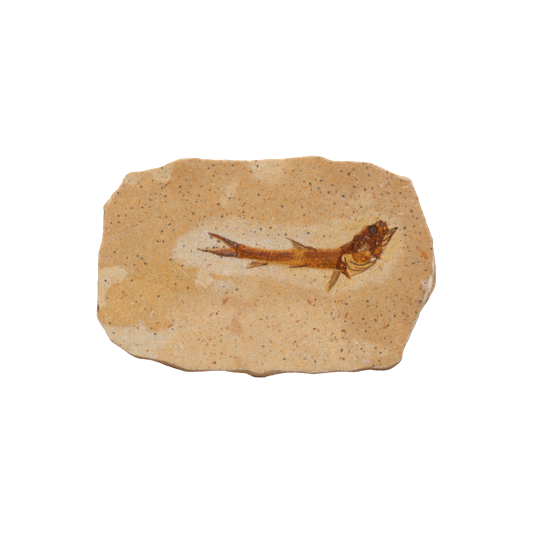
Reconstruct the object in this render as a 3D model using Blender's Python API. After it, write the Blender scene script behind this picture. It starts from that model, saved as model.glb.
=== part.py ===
"""A small fossil fish lying on its slab of split limestone, in metres with Z up.

All plans are drawn in millimetres on the stone's split face, X along the slab and Y across it.
The stone is a stack of rings, one for each broken layer, closed by a split face with a shallow
hollow scraped round the fish and by a flat underside. The fish is one thin film of bone, skin and
fins. Its plan is the union of the outlines below, and its relief is read at every point of that plan.
"""

import random

import bmesh
import bpy
import numpy as np
from mathutils import Vector, noise
from mathutils.geometry import delaunay_2d_cdt

MM = 0.001
CLOSE = 0.004            # points nearer than this are one point
SEED = 11

# The stone.
THICKNESS = 9.0
SIDE_SPACING = 3.4       # longest straight stretch of the broken edge
FACE_SPACING = 3.2       # distance between points of the split face
BASE_SPACING = 5.5       # distance between points of the underside
EDGE_MARGIN = 0.9        # inner points keep this far from the edge
OUTLINE_SHIFT = (0.0, 0.33)   # from where the outline is drawn to its place round the fish
SPINE_HALF = 22.0        # the edge moves in towards a line of this half length along X
LAYER_CHIP = 1.8         # how deep a broken layer steps back
HELD_CHIP = 0.15         # the same for the layer that reaches furthest
FRONT_CHIP = 0.45        # the same along the front
UNDERCUT = 0.6           # elsewhere the foot is set in this far under the rim
SLOPE_STEP = 1.9         # how far the face steps back above the broken slope at the right end
SLOPE_HEIGHTS = (6.7, 8.5)    # heights of the foot and the top of that slope
CHIP_SCALE = 6.0
RIM_CHIP = 0.35
SWELL = 0.22             # rise and fall of the split face
SWELL_SCALE = 26.0
HOLLOW_DEPTH = 0.45      # scraped down round the fish
HOLLOW_FLOOR = 4.5       # half width of its floor
HOLLOW_EDGE = 11.0       # half width where it runs out
STEP_HALF = 0.16         # half the width of a step between two layers
FLAKE_SIDES = 18         # sides of the outline of a lost flake

# The fish.
GAP = 0.3                # between the stone and the underside of the film
FILM = 0.28              # thickness of the film where nothing else is raised
GRID = 1.25              # distance between the points that carry its relief
BONE_POINTS = 1.7        # distance between points along a bone or ray

# The stone's widest outline, clockwise from the middle of its left side.
STONE_OUTLINE = [
    (-64.5, 0.2), (-64.2, 5.0), (-62.9, 10.0), (-62.5, 15.0), (-62.2, 21.3), (-62.6, 22.5), (-61.2, 24.7),
    (-60.0, 26.0), (-59.0, 27.7), (-57.0, 29.7), (-56.2, 31.1), (-55.3, 32.3), (-54.8, 33.7), (-54.0, 34.9),
    (-53.0, 35.7), (-52.0, 36.1), (-48.0, 36.6), (-42.0, 37.7), (-39.0, 38.6), (-37.8, 39.6), (-36.0, 40.0),
    (-33.5, 41.2), (-31.0, 41.4), (-26.5, 41.5), (-25.0, 41.1), (-20.0, 40.8), (-7.5, 40.8), (-6.5, 40.4),
    (-5.2, 40.8), (0.0, 41.0), (5.0, 41.3), (10.0, 41.7), (15.0, 42.2), (17.0, 42.5), (18.5, 42.5),
    (20.5, 42.1), (22.0, 41.7), (24.0, 40.9), (26.0, 40.5), (36.0, 40.2), (40.0, 39.7), (43.5, 38.1),
    (48.0, 36.1), (50.0, 35.1), (54.0, 34.1), (55.7, 32.8), (56.0, 31.5), (56.8, 29.6), (58.0, 26.5),
    (58.5, 24.3), (60.0, 20.0), (62.2, 14.1), (63.6, 10.8), (63.9, 9.1), (63.8, 7.4), (64.7, 0.6),
    (64.9, -1.4), (64.9, -3.6), (64.5, -7.7), (64.1, -8.9), (61.3, -13.6), (59.3, -16.6), (58.3, -19.1),
    (56.0, -24.0), (53.3, -29.9), (52.0, -32.9), (51.5, -35.8), (51.0, -36.5), (48.5, -38.5), (47.2, -39.2),
    (45.0, -39.6), (41.0, -39.7), (40.3, -39.4), (37.0, -39.8), (33.8, -40.3), (32.0, -40.1), (28.0, -40.0),
    (24.0, -40.3), (18.0, -40.9), (14.0, -40.5), (12.0, -40.2), (8.0, -40.4), (4.0, -41.1), (0.0, -42.1),
    (-1.0, -42.5), (-3.0, -42.5), (-4.8, -42.3), (-7.5, -40.9), (-9.0, -40.6), (-13.0, -40.3),
    (-15.0, -39.8), (-19.0, -39.5), (-24.0, -39.8), (-29.0, -40.3), (-31.5, -40.0), (-35.0, -38.8),
    (-39.5, -37.2), (-44.5, -35.7), (-49.6, -34.9), (-52.5, -33.4), (-54.0, -32.3), (-58.0, -29.8),
    (-59.3, -29.0), (-60.8, -26.4), (-63.8, -21.3), (-64.4, -20.1), (-64.9, -18.8), (-64.6, -11.7),
    (-64.4, -5.7), (-64.2, -3.2),
]

# Along the front: place along X, and how far the foot stands out past the rim there.
FRONT_LEAN = [
    (-60.0, 0.0), (-53.0, -0.1), (-49.5, 0.45), (-44.0, 0.25), (-39.0, 0.7), (-34.0, 0.75),
    (-30.0, 0.5), (-25.5, -0.3), (-20.0, -0.7), (-14.0, -0.3), (-8.5, 0.3), (-5.0, 0.95),
    (-1.5, 1.0), (2.0, 0.75), (6.0, 0.0), (9.0, -0.4), (24.0, -0.45), (32.0, -0.35),
    (35.5, 0.65), (40.0, 0.9), (45.0, 0.5), (50.0, 0.0),
]

# Each ring of the broken edge: height, which of the four layers it is on, and its own step in.
STONE_RINGS = [
    (0.0, 0, 0.75), (0.55, 0, 0.1), (2.0, 0, 0.0), (2.4, 1, 0.0), (4.3, 1, 0.1),
    (4.8, 2, 0.0), (6.7, 2, 0.05), (7.1, 3, 0.0), (8.5, 3, 0.1),
]
LAYER_SHARE = (0.0, 0.4, 0.75, 1.0)      # how far up the edge each layer lies, as a share
RIM_STEP = 0.2                           # the rim's own step in
SHOULDER_STEP = 0.9                      # where the split face starts

# The surface layer ends along this line, and the stone is lower in front of it.
SHEET_BORDER = [
    (-62.0, -18.5), (-60.5, -21.8), (-57.0, -23.2), (-54.0, -22.6), (-50.0, -23.2), (-48.2, -21.2),
    (-47.0, -20.4), (-46.0, -22.8), (-44.0, -24.6), (-41.5, -24.0), (-38.5, -23.4), (-36.0, -21.4),
    (-32.0, -20.6), (-28.0, -21.5),
]
SHEET_DROP = 0.3
SHEET_FADE = (-44.0, -29.0)              # the drop runs out between these two places along X

# Flakes lost from the split face and from the underside: centre, half length, half width, depth.
FACE_FLAKES = [
    ((-49.6, 34.6), 4.8, 3.2, 0.35), ((-40.4, 36.4), 4.6, 3.4, 0.4), ((-3.0, 39.6), 4.0, 2.2, 0.3),
    ((62.6, -9.0), 2.2, 3.4, 0.3), ((-62.4, -12.0), 3.6, 6.5, 0.15), ((38.0, -38.6), 6.0, 2.4, 0.3),
    ((54.5, 31.5), 3.4, 3.0, 0.35), ((-52.0, -32.5), 4.5, 2.6, 0.35),
]
BASE_FLAKES = [
    ((-52.0, 22.0), 15.0, 13.0, 0.8), ((46.0, -30.0), 15.0, 10.0, 0.7), ((10.0, 41.0), 22.0, 8.0, 0.55),
    ((62.0, 12.0), 9.0, 16.0, 0.6), ((-30.0, -40.0), 20.0, 7.0, 0.5),
]

# The line that the scraped hollow follows, with its branch along the breast fin.
HOLLOW_LINES = [
    [(-24.0, 8.5), (-10.0, 6.0), (2.0, 4.0), (20.0, 3.5), (34.0, 5.0), (47.0, 13.0)],
    [(27.0, 1.0), (24.0, -6.5)],
]

# Outlines of the fish: their union is its plan.
TRUNK = [
    (-10.6, 8.7), (-8.0, 8.0), (-5.0, 7.4), (0.0, 6.7), (5.0, 6.4), (8.0, 6.5), (9.5, 7.1), (12.5, 7.2),
    (19.0, 6.9), (22.0, 6.5), (26.0, 6.9), (28.0, 7.5), (31.0, 8.8), (33.0, 4.0), (30.5, -1.6),
    (28.5, -1.9), (25.0, -1.6), (22.5, -1.6), (20.0, -1.1), (15.0, -0.9), (9.0, -0.7), (4.0, 0.0),
    (0.0, 0.9), (-3.0, 2.0), (-6.0, 2.6), (-10.3, 3.0),
]
HEAD = [
    (28.0, 7.5), (29.5, 8.2), (31.7, 9.2), (32.5, 9.8), (33.1, 11.5), (33.8, 12.3), (34.5, 12.5), (35.1, 12.1),
    (36.1, 12.9), (35.8, 13.8), (36.4, 14.3), (37.1, 14.4), (38.2, 15.5), (40.5, 15.9), (42.0, 16.9),
    (43.7, 17.9), (44.9, 17.3), (45.8, 17.9), (46.1, 16.0), (46.8, 14.2), (47.3, 13.9), (48.0, 14.7),
    (49.4, 15.2), (50.2, 15.2), (50.1, 14.6), (49.2, 13.5), (48.1, 11.8), (46.8, 9.4), (45.9, 7.5),
    (44.8, 5.8), (43.6, 3.7), (42.1, 2.2), (41.3, 1.0), (39.4, -0.4), (37.2, -1.7), (34.5, -2.9),
    (32.2, -3.8), (31.0, -2.4), (29.5, -1.0), (28.5, 1.0),
]
UPPER_TAIL = [
    (-10.2, 8.6), (-11.5, 9.1), (-13.0, 9.7), (-15.0, 10.5), (-17.0, 11.4), (-18.5, 12.0), (-20.3, 12.5),
    (-21.8, 13.1), (-22.4, 12.7), (-21.4, 11.9), (-19.8, 11.1), (-18.2, 10.4), (-17.0, 9.7), (-15.8, 8.8),
    (-14.9, 8.0), (-14.1, 7.3), (-12.5, 6.0), (-10.2, 5.4),
]
LOWER_TAIL = [
    (-10.2, 6.6), (-12.5, 6.9), (-14.1, 7.3), (-15.6, 7.4), (-17.5, 7.1), (-20.0, 6.8), (-23.0, 6.8),
    (-25.0, 6.5), (-26.4, 6.9), (-27.0, 6.5), (-25.6, 6.0), (-24.0, 5.6), (-22.0, 5.3), (-20.3, 4.8),
    (-18.5, 4.3), (-16.5, 3.9), (-14.0, 3.6), (-12.0, 3.2), (-10.2, 3.0),
]
BACK_FIN = [
    (7.0, 11.3), (8.1, 11.1), (9.1, 10.5), (10.3, 9.9), (11.5, 9.4), (13.0, 8.9), (14.0, 8.2), (14.6, 7.9),
    (16.0, 7.9), (17.3, 7.6), (18.4, 7.1), (19.1, 6.4), (15.0, 5.4), (10.9, 6.2), (10.1, 8.0), (9.3, 9.4),
    (8.1, 10.4),
]
BELLY_FIN = [
    (-8.2, -0.6), (-6.6, 0.4), (-6.0, 1.3), (-4.2, 1.8), (-2.4, 2.1), (0.6, 1.6), (1.6, 0.7), (-0.2, 0.5),
    (-1.8, 0.1), (-4.0, -0.4), (-6.0, -0.8), (-7.9, -1.0),
]
BREAST_FIN = [
    (25.3, -1.4), (24.9, -2.8), (24.3, -4.8), (23.3, -6.4), (22.4, -7.6), (22.3, -8.7), (22.9, -10.4),
    (23.8, -10.3), (24.1, -9.2), (25.5, -7.2), (27.1, -5.1), (28.1, -3.6), (28.7, -1.7), (27.5, -0.9),
]
SPLINTER = [
    (28.4, -1.2), (30.2, -1.3), (31.2, -2.6), (31.9, -3.7), (32.4, -4.9), (31.7, -4.9), (30.7, -4.0),
    (29.6, -2.9), (28.6, -2.3),
]
FISH_OUTLINES = [TRUNK, HEAD, UPPER_TAIL, LOWER_TAIL, BACK_FIN, BELLY_FIN, BREAST_FIN, SPLINTER]

# Rounded masses: line that they follow, half width at its start and end, height.
MASSES = [
    ([(-12.0, 6.3), (-5.0, 5.0), (3.0, 3.8), (12.0, 3.4), (22.0, 3.2), (29.0, 3.9)], 2.1, 4.0, 0.42),
    ([(30.0, 6.6), (34.0, 8.4), (38.5, 10.8), (42.0, 12.2), (45.0, 14.8)], 3.0, 3.2, 0.55),
    ([(34.6, 2.9), (38.0, 4.4)], 1.9, 2.1, 0.5),
    ([(41.6, 5.0), (43.6, 7.0)], 1.1, 1.0, 0.42),
    ([(28.4, 1.4), (29.8, -0.6)], 1.3, 1.5, 0.45),
    ([(43.6, 16.6), (45.2, 16.8)], 0.9, 0.8, 0.3),
    ([(43.8, 14.6), (45.4, 14.4)], 0.9, 0.8, 0.3),
    ([(33.9, 11.6), (34.6, 11.2)], 1.0, 1.0, 0.25),
    ([(36.6, 13.4), (37.6, 13.9)], 0.9, 0.9, 0.22),
]

# The backbone: its line, half width, height, length of one vertebra and depth of the waist between two.
BACKBONE = [
    (-11.4, 6.9), (-8.0, 6.0), (-4.0, 4.9), (1.0, 4.1), (6.0, 3.9), (11.0, 4.1), (16.0, 4.5), (21.0, 4.7),
    (26.0, 5.0), (29.5, 5.8),
]
BACKBONE_HALF = 0.75
BACKBONE_HEIGHT = 0.34
VERTEBRA = 1.25
WAIST = 0.3

# The eye: centre, radius of its raised rim, width and height of the rim.
EYE = (40.8, 14.0)
EYE_RADIUS = 1.75
EYE_RIM = 0.55
EYE_HEIGHT = 0.4

# Bones and rays: line, half width at its start and end, height.
JAW_AND_GILL_BONES = [
    ([(43.0, 8.8), (45.0, 10.1), (46.9, 12.0), (48.4, 13.4), (49.9, 14.9)], 0.5, 0.4, 0.42),
    ([(44.6, 7.8), (46.2, 9.4), (47.4, 11.1), (48.6, 13.0)], 0.4, 0.3, 0.32),
    ([(45.8, 12.1), (47.2, 12.9)], 0.3, 0.3, 0.25),
    ([(46.6, 13.4), (47.9, 14.5)], 0.4, 0.35, 0.3),
    ([(43.4, 3.9), (44.6, 6.0), (45.7, 7.6)], 0.35, 0.3, 0.28),
    ([(32.1, 1.9), (33.8, 0.9), (36.2, 0.6), (38.4, 1.3), (39.6, 2.1)], 0.3, 0.4, 0.35),
    ([(29.9, 3.3), (30.2, 1.9), (31.2, 0.1), (32.3, -1.2), (34.5, -1.6), (36.4, -1.3)], 0.35, 0.3, 0.35),
    ([(34.0, -0.3), (36.4, -0.6), (38.6, -0.2)], 0.25, 0.3, 0.28),
    ([(32.3, -3.6), (35.2, -2.7), (37.6, -1.4), (39.6, 0.0), (41.6, 1.7)], 0.25, 0.4, 0.3),
    ([(33.0, 4.7), (33.3, 3.5), (34.3, 2.5)], 0.35, 0.25, 0.3),
    ([(29.3, 5.3), (28.1, 3.8), (27.6, 2.0), (27.9, 0.4)], 0.5, 0.6, 0.4),
    ([(24.6, -0.6), (26.1, -0.5), (27.7, -0.7)], 0.3, 0.45, 0.35),
    ([(28.9, -1.6), (30.3, -2.8), (31.3, -3.9), (32.1, -4.7)], 0.6, 0.3, 0.4),
    ([(38.4, 9.6), (39.9, 8.4), (41.4, 7.9), (43.0, 8.8)], 0.4, 0.4, 0.22),
    ([(38.2, 13.0), (39.2, 11.6), (40.8, 11.1), (42.4, 11.6), (43.4, 12.8)], 0.3, 0.3, 0.2),
    ([(39.0, 7.6), (39.9, 5.9), (39.7, 4.2), (38.8, 3.0)], 0.35, 0.35, 0.25),
    ([(34.0, 5.4), (35.8, 6.3), (37.9, 7.5)], 0.35, 0.3, 0.25),
    ([(43.0, 17.2), (44.3, 15.9), (45.5, 15.3), (46.2, 14.1)], 0.3, 0.3, 0.25),
    ([(43.4, 14.3), (44.6, 13.7), (46.0, 13.4)], 0.3, 0.3, 0.22),
    ([(41.0, 5.4), (42.0, 6.9), (43.3, 7.9)], 0.25, 0.25, 0.22),
    ([(40.0, 3.0), (41.6, 3.4), (42.9, 4.4)], 0.4, 0.3, 0.28),
    ([(33.6, 10.9), (36.6, 13.1), (38.6, 14.6)], 0.35, 0.3, 0.2),
    ([(35.2, 7.9), (36.6, 8.1), (37.4, 9.2)], 0.35, 0.3, 0.2),
    ([(28.4, 7.1), (30.2, 8.1), (31.8, 8.9)], 0.35, 0.3, 0.22),
]
TAIL_RAYS = [
    ([(-11.5, 8.6), (-14.0, 9.6), (-17.0, 10.9), (-20.0, 12.0), (-21.9, 12.7)], 0.45, 0.25, 0.3),
    ([(-11.8, 7.8), (-14.0, 8.5), (-16.8, 9.9), (-19.4, 11.2)], 0.45, 0.2, 0.26),
    ([(-11.7, 3.8), (-15.0, 4.2), (-18.0, 4.6), (-21.5, 5.5), (-25.0, 6.2)], 0.45, 0.2, 0.3),
    ([(-11.8, 4.7), (-15.0, 5.0), (-18.5, 5.6), (-22.0, 6.2)], 0.45, 0.2, 0.26),
    ([(-12.0, 5.8), (-14.5, 6.3), (-17.0, 6.7)], 0.4, 0.2, 0.22),
    ([(-11.3, 8.9), (-11.5, 6.9), (-11.9, 4.7)], 0.35, 0.3, 0.3),
]
FIN_RAYS = [
    ([(18.7, 6.4), (16.6, 7.4), (14.5, 7.6), (13.2, 8.5), (10.4, 9.6), (7.3, 11.1)], 0.35, 0.2, 0.3),
    ([(16.0, 6.7), (13.8, 7.1), (12.2, 8.2), (10.2, 9.1)], 0.3, 0.2, 0.24),
    ([(13.6, 6.7), (12.2, 7.1), (11.0, 7.9)], 0.3, 0.2, 0.22),
    ([(0.3, 1.2), (-1.6, 0.6), (-4.4, 0.0), (-7.6, -0.7)], 0.35, 0.25, 0.26),
    ([(-0.4, 1.4), (-3.0, 1.2), (-5.0, 1.3), (-6.1, 0.8)], 0.3, 0.3, 0.24),
    ([(28.3, -1.7), (27.9, -3.3), (26.2, -5.8), (24.7, -7.8), (23.7, -9.1)], 0.4, 0.25, 0.32),
    ([(27.4, -1.6), (26.5, -3.6), (25.0, -5.8), (23.8, -7.6)], 0.3, 0.2, 0.26),
    ([(26.5, -1.5), (25.9, -3.2), (24.9, -4.7)], 0.3, 0.2, 0.24),
    ([(8.7, -0.4), (11.5, -0.2), (14.4, 0.0), (16.0, -0.2)], 0.35, 0.3, 0.26),
]
# The rays that cross the belly: foot of the first, step from one to the next, and run of each.
BELLY_RAYS = 5
BELLY_RAY_FOOT = (20.2, -0.9)
BELLY_RAY_STEP = (0.78, -0.04)
BELLY_RAY_RUN = (2.6, 2.7)
BELLY_RAY_HALF = 0.2
BELLY_RAY_HEIGHT = 0.16

LIMESTONE_COLOUR = (0.60, 0.40, 0.22, 1.0)
BONE_COLOUR = (0.18, 0.055, 0.012, 1.0)


def ease(value):
    """A smooth rise from 0 to 1 while the value goes from 0 to 1."""
    value = np.clip(value, 0.0, 1.0)
    return value * value * (3.0 - 2.0 * value)


def rough(points, scale, layer=0.0):
    """Smooth noise from about -1 to 1 at each point, with lumps of about the scale's size."""
    return np.array([noise.noise(Vector((x / scale, y / scale, layer))) for x, y in points])


def line_distance(points, line):
    """How far each point is from a bent line, and how far along the line its nearest place is."""
    best = np.full(len(points), np.inf)
    place = np.zeros(len(points))
    run = 0.0
    for start, end in zip(np.array(line[:-1]), np.array(line[1:])):
        step = end - start
        length = np.linalg.norm(step)
        share = np.clip((points - start) @ step / length**2, 0.0, 1.0)
        distance = np.linalg.norm(points - start - share[:, None] * step, axis=1)
        nearer = distance < best
        best[nearer] = distance[nearer]
        place[nearer] = run + share[nearer] * length
        run += length
    return best, place, run


def inside(points, outline):
    """Which points lie inside a closed outline."""
    result = np.zeros(len(points), dtype=bool)
    corners = np.array(outline)
    for (ax, ay), (bx, by) in zip(corners, np.roll(corners, -1, axis=0)):
        if ay == by:
            continue
        crosses = (points[:, 1] >= min(ay, by)) & (points[:, 1] < max(ay, by))
        at = ax + (points[:, 1] - ay) * (bx - ax) / (by - ay)
        result ^= crosses & (points[:, 0] < at)
    return result


def divided(line, spacing, closed=False):
    """The line's own points, with long stretches divided into equal parts."""
    ends = line[1:] + line[:1] if closed else line[1:]
    result = []
    for start, end in zip(line, ends):
        start = np.array(start)
        step = np.array(end) - start
        parts = max(1, int(np.ceil(np.linalg.norm(step) / spacing)))
        result += [tuple(start + step * part / parts) for part in range(parts)]
    if not closed:
        result.append(tuple(line[-1]))
    return result


def scattered(outlines, spacing, seed):
    """Points scattered over the outlines, about evenly."""
    draw = random.Random(seed)
    corners = np.concatenate([np.array(outline) for outline in outlines])
    low = corners.min(axis=0)
    high = corners.max(axis=0)
    wobble = 0.3 * spacing
    points = []
    for x in np.arange(low[0], high[0], spacing):
        for y in np.arange(low[1], high[1], spacing):
            points.append((x + draw.uniform(-wobble, wobble), y + draw.uniform(-wobble, wobble)))
    points = np.array(points)
    held = np.zeros(len(points), dtype=bool)
    for outline in outlines:
        held |= inside(points, outline)
    return points[held]


def clear_of(points, lines, margin):
    """The points that keep the margin from every line."""
    points = np.asarray(points)
    for line in lines:
        points = points[line_distance(points, line)[0] > margin]
    return points


def triangulate(corners, edges):
    """Joins the corners into triangles that keep the edges. Also says where each corner went."""
    flat = [Vector(corner) for corner in corners]
    points, _, triangles, sources, _, _ = delaunay_2d_cdt(flat, edges, [], 0, CLOSE)
    went = {}
    for new, olds in enumerate(sources):
        for old in olds:
            went[old] = new
    return np.array([tuple(point) for point in points]), triangles, went


def chained(lines, closed, first):
    """Edges along each line, for corners that are numbered in turn from the first."""
    edges = []
    for line in lines:
        count = len(line)
        edges += [(first + i, first + i + 1) for i in range(count - 1)]
        if closed:
            edges.append((first + count - 1, first))
        first += count
    return edges


def inward(ring):
    """The direction in which each point of the edge steps back."""
    middle = np.zeros_like(ring)
    middle[:, 0] = np.clip(ring[:, 0], -SPINE_HALF, SPINE_HALF)
    away = middle - ring
    return away / np.linalg.norm(away, axis=1)[:, None]


def slope_share(ring):
    """Where the edge is broken to a slope at the right end: 1 in its middle, 0 away from it."""
    x, y = ring[:, 0], ring[:, 1]
    return ease((x - 54.0) / 5.0) * ease((y + 21.0) / 6.0) * ease((3.0 - y) / 7.0)


def slope_step(ring, z):
    """How far that slope has stepped back at this height."""
    low, high = SLOPE_HEIGHTS
    return SLOPE_STEP * slope_share(ring) * np.clip((z - low) / (high - low), 0.0, 1.0)


def layer_step(ring, layer):
    """How far one layer has stepped back from the outline, after its chips.

    Along the front the foot is drawn on the outline, and everywhere else the split face is.
    """
    front = ease((-ring[:, 1] - 24.0) / 12.0)
    held = (front, 0.0, slope_share(ring), 1.0 - front)[layer]
    chip = np.maximum(0.0, rough(ring, CHIP_SCALE, 5.3 * layer + 1.7) + 0.25)
    depth = LAYER_CHIP + (FRONT_CHIP - LAYER_CHIP) * front
    depth += (HELD_CHIP - depth) * held
    lean = LAYER_SHARE[layer] * front * np.interp(ring[:, 0], *zip(*FRONT_LEAN))
    undercut = (1.0 - LAYER_SHARE[layer]) * UNDERCUT * (1.0 - front)
    return lean + undercut * (1.0 - held) + depth * chip


def flake_border(turn, centre):
    """How far the broken border of a flake reaches in each direction, about 1."""
    return 1.0 + 0.13 * np.sin(3.0 * turn + centre[0]) + 0.07 * np.sin(7.0 * turn + centre[1])


def flake_depth(points, flakes):
    """How deep the lost flakes are at each point."""
    depth = np.zeros(len(points))
    for centre, half_x, half_y, drop in flakes:
        x = (points[:, 0] - centre[0]) / half_x
        y = (points[:, 1] - centre[1]) / half_y
        reach = np.hypot(x, y) / flake_border(np.arctan2(y, x), centre)
        side = STEP_HALF / min(half_x, half_y)
        depth = np.maximum(depth, drop * ease((1.0 + side - reach) / (2.0 * side)))
    return depth


def sheet_drop(points):
    """How much lower the stone is in front of the surface layer's border."""
    border = np.array(SHEET_BORDER)
    line_y = np.interp(points[:, 0], border[:, 0], border[:, 1])
    below = ease((line_y + STEP_HALF - points[:, 1]) / (2.0 * STEP_HALF))
    fade = ease((SHEET_FADE[1] - points[:, 0]) / (SHEET_FADE[1] - SHEET_FADE[0]))
    return SHEET_DROP * below * fade


def face_height(points):
    """Height of the stone's split face."""
    points = np.asarray(points, dtype=float)
    distance = np.min([line_distance(points, line)[0] for line in HOLLOW_LINES], axis=0)
    distance = distance + 1.5 * rough(points, 7.0, 3.1)
    hollow = ease((HOLLOW_EDGE - distance) / (HOLLOW_EDGE - HOLLOW_FLOOR))
    swell = SWELL * rough(points, SWELL_SCALE, 8.4) * (1.0 - hollow)
    return THICKNESS + swell - HOLLOW_DEPTH * hollow - sheet_drop(points) - flake_depth(points, FACE_FLAKES)


def base_height(points):
    """Height of the underside: flat, apart from the flakes that it has lost at its edge."""
    return flake_depth(np.asarray(points, dtype=float), BASE_FLAKES)


def closed_line(ring):
    """A ring as a line that ends where it starts."""
    return np.vstack([ring, ring[:1]])


def kept_runs(line, ring):
    """The stretches of a line that lie inside the ring by the margin."""
    points = np.array(line)
    keep = inside(points, ring) & (line_distance(points, closed_line(ring))[0] > EDGE_MARGIN)
    runs = [[]]
    for point, kept in zip(points, keep):
        if kept:
            runs[-1].append(tuple(point))
        elif runs[-1]:
            runs.append([])
    return [run for run in runs if len(run) > 1]


def flake_loops(flakes):
    """The two sides of the step round each flake."""
    turn = np.linspace(0.0, 2.0 * np.pi, FLAKE_SIDES + 1)
    loops = []
    for centre, half_x, half_y, _ in flakes:
        side = STEP_HALF / min(half_x, half_y)
        for reach in (1.0 - side, 1.0 + side):
            radius = reach * flake_border(turn, centre)
            x = centre[0] + half_x * radius * np.cos(turn)
            y = centre[1] + half_y * radius * np.sin(turn)
            loops.append(np.column_stack([x, y]))
    return loops


def step_lines(ring):
    """The two sides of each step in the split face, where they keep clear of the edge."""
    border = divided(SHEET_BORDER, 2.2)
    lines = flake_loops(FACE_FLAKES)
    lines += [[(x, y + side) for x, y in border] for side in (-STEP_HALF, STEP_HALF)]
    return [run for line in lines for run in kept_runs(line, ring)]


def add_cap(verts, faces, first, ring, lines, dots, height):
    """Closes the ring, whose points are numbered from the first, with triangles at the given height."""
    corners = [tuple(point) for point in ring]
    edges = chained([corners], True, 0)
    edges += chained(lines, False, len(corners))
    for line in lines:
        corners += line
    corners += [tuple(dot) for dot in dots]
    points, triangles, went = triangulate(corners, edges)
    number = {went[old]: first + old for old in range(len(ring))}
    heights = height(points)
    for new, point in enumerate(points):
        if new not in number:
            number[new] = len(verts)
            verts.append((point[0], point[1], heights[new]))
    middles = np.array([points[list(triangle)].mean(axis=0) for triangle in triangles])
    held = inside(middles, ring)
    faces += [[number[corner] for corner in triangle] for triangle, keep in zip(triangles, held) if keep]


def stone_mesh():
    """Corners and faces of the stone, in millimetres."""
    outline = np.array(divided(STONE_OUTLINE[::-1], SIDE_SPACING, closed=True)) + OUTLINE_SHIFT
    direction = inward(outline)
    rings = []
    for z, layer, step in STONE_RINGS:
        plan = outline + direction * (layer_step(outline, layer) + slope_step(outline, z) + step)[:, None]
        rise = base_height(plan) if z == 0.0 else np.full(len(plan), z)
        rings.append(np.column_stack([plan, rise]))
    top_step = layer_step(outline, 3) + slope_step(outline, THICKNESS)
    for step, chipped in ((RIM_STEP, True), (SHOULDER_STEP, False)):
        plan = outline + direction * (top_step + step)[:, None]
        chip = RIM_CHIP * np.maximum(0.0, 0.3 + rough(plan, 4.0, 21.0)) if chipped else 0.0
        rings.append(np.column_stack([plan, face_height(plan) - chip]))
    count = len(outline)
    verts = [tuple(point) for ring in rings for point in ring]
    faces = []
    for level in range(len(rings) - 1):
        for i in range(count):
            low, low_next = level * count + i, level * count + (i + 1) % count
            faces.append([low, low_next, low_next + count, low + count])
    top = rings[-1][:, :2]
    lines = step_lines(top)
    dots = clear_of(scattered([top], FACE_SPACING, SEED), [closed_line(top)] + lines, EDGE_MARGIN)
    add_cap(verts, faces, (len(rings) - 1) * count, top, lines, dots, face_height)
    base = rings[0][:, :2]
    lines = [run for line in flake_loops(BASE_FLAKES) for run in kept_runs(line, base)]
    dots = clear_of(scattered([base], BASE_SPACING, SEED + 1), [closed_line(base)] + lines, EDGE_MARGIN)
    add_cap(verts, faces, 0, base, lines, dots, base_height)
    return verts, faces


def belly_rays():
    """The parallel rays across the belly, as bones."""
    rays = []
    for index in range(BELLY_RAYS):
        x = BELLY_RAY_FOOT[0] + index * BELLY_RAY_STEP[0]
        y = BELLY_RAY_FOOT[1] + index * BELLY_RAY_STEP[1]
        end = (x + BELLY_RAY_RUN[0], y + BELLY_RAY_RUN[1])
        rays.append(([(x, y), end], BELLY_RAY_HALF, BELLY_RAY_HALF, BELLY_RAY_HEIGHT))
    return rays


def all_bones():
    """Every raised bone and ray."""
    return JAW_AND_GILL_BONES + TAIL_RAYS + FIN_RAYS + belly_rays()


def mass_height(points, mass):
    """Height of one rounded mass at each point."""
    line, start_half, end_half, height = mass
    distance, place, length = line_distance(points, line)
    half = start_half + (end_half - start_half) * place / length
    return height * np.sqrt(np.clip(1.0 - (distance / half) ** 2, 0.0, 1.0))


def bone_height(points, bone):
    """Height of one bone or ray at each point: a ridge with sloping sides."""
    line, start_half, end_half, height = bone
    distance, place, length = line_distance(points, line)
    half = start_half + (end_half - start_half) * place / length
    return height * np.clip(1.0 - distance / half, 0.0, 1.0)


def backbone_height(points):
    """Height of the backbone, which dips at the waist of each vertebra."""
    distance, place, _ = line_distance(points, BACKBONE)
    ridge = np.clip(1.0 - (distance / BACKBONE_HALF) ** 2, 0.0, 1.0)
    waist = 0.5 - 0.5 * np.cos(2.0 * np.pi * place / VERTEBRA)
    return ridge * (BACKBONE_HEIGHT - WAIST * waist)


def eye_height(points):
    """Height of the eye's raised rim."""
    distance = np.linalg.norm(points - np.array(EYE), axis=1)
    return EYE_HEIGHT * np.clip(1.0 - np.abs(distance - EYE_RADIUS) / EYE_RIM, 0.0, 1.0)


def fish_relief(points):
    """Thickness of the fish at each point."""
    body = np.max([mass_height(points, mass) for mass in MASSES], axis=0)
    ridges = np.max([bone_height(points, bone) for bone in all_bones()], axis=0)
    ridges = np.maximum(ridges, eye_height(points))
    return FILM + body + np.maximum(ridges, backbone_height(points))


def bone_guides(bone):
    """The crest of a bone and its two feet, as lines for the triangles to follow."""
    line, start_half, end_half, _ = bone
    crest = np.array(divided(line, BONE_POINTS))
    heading = np.gradient(crest, axis=0)
    heading /= np.linalg.norm(heading, axis=1)[:, None]
    aside = np.column_stack([-heading[:, 1], heading[:, 0]])
    half = np.linspace(start_half, end_half, len(crest))[:, None]
    return [crest, crest + aside * half, crest - aside * half]


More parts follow.
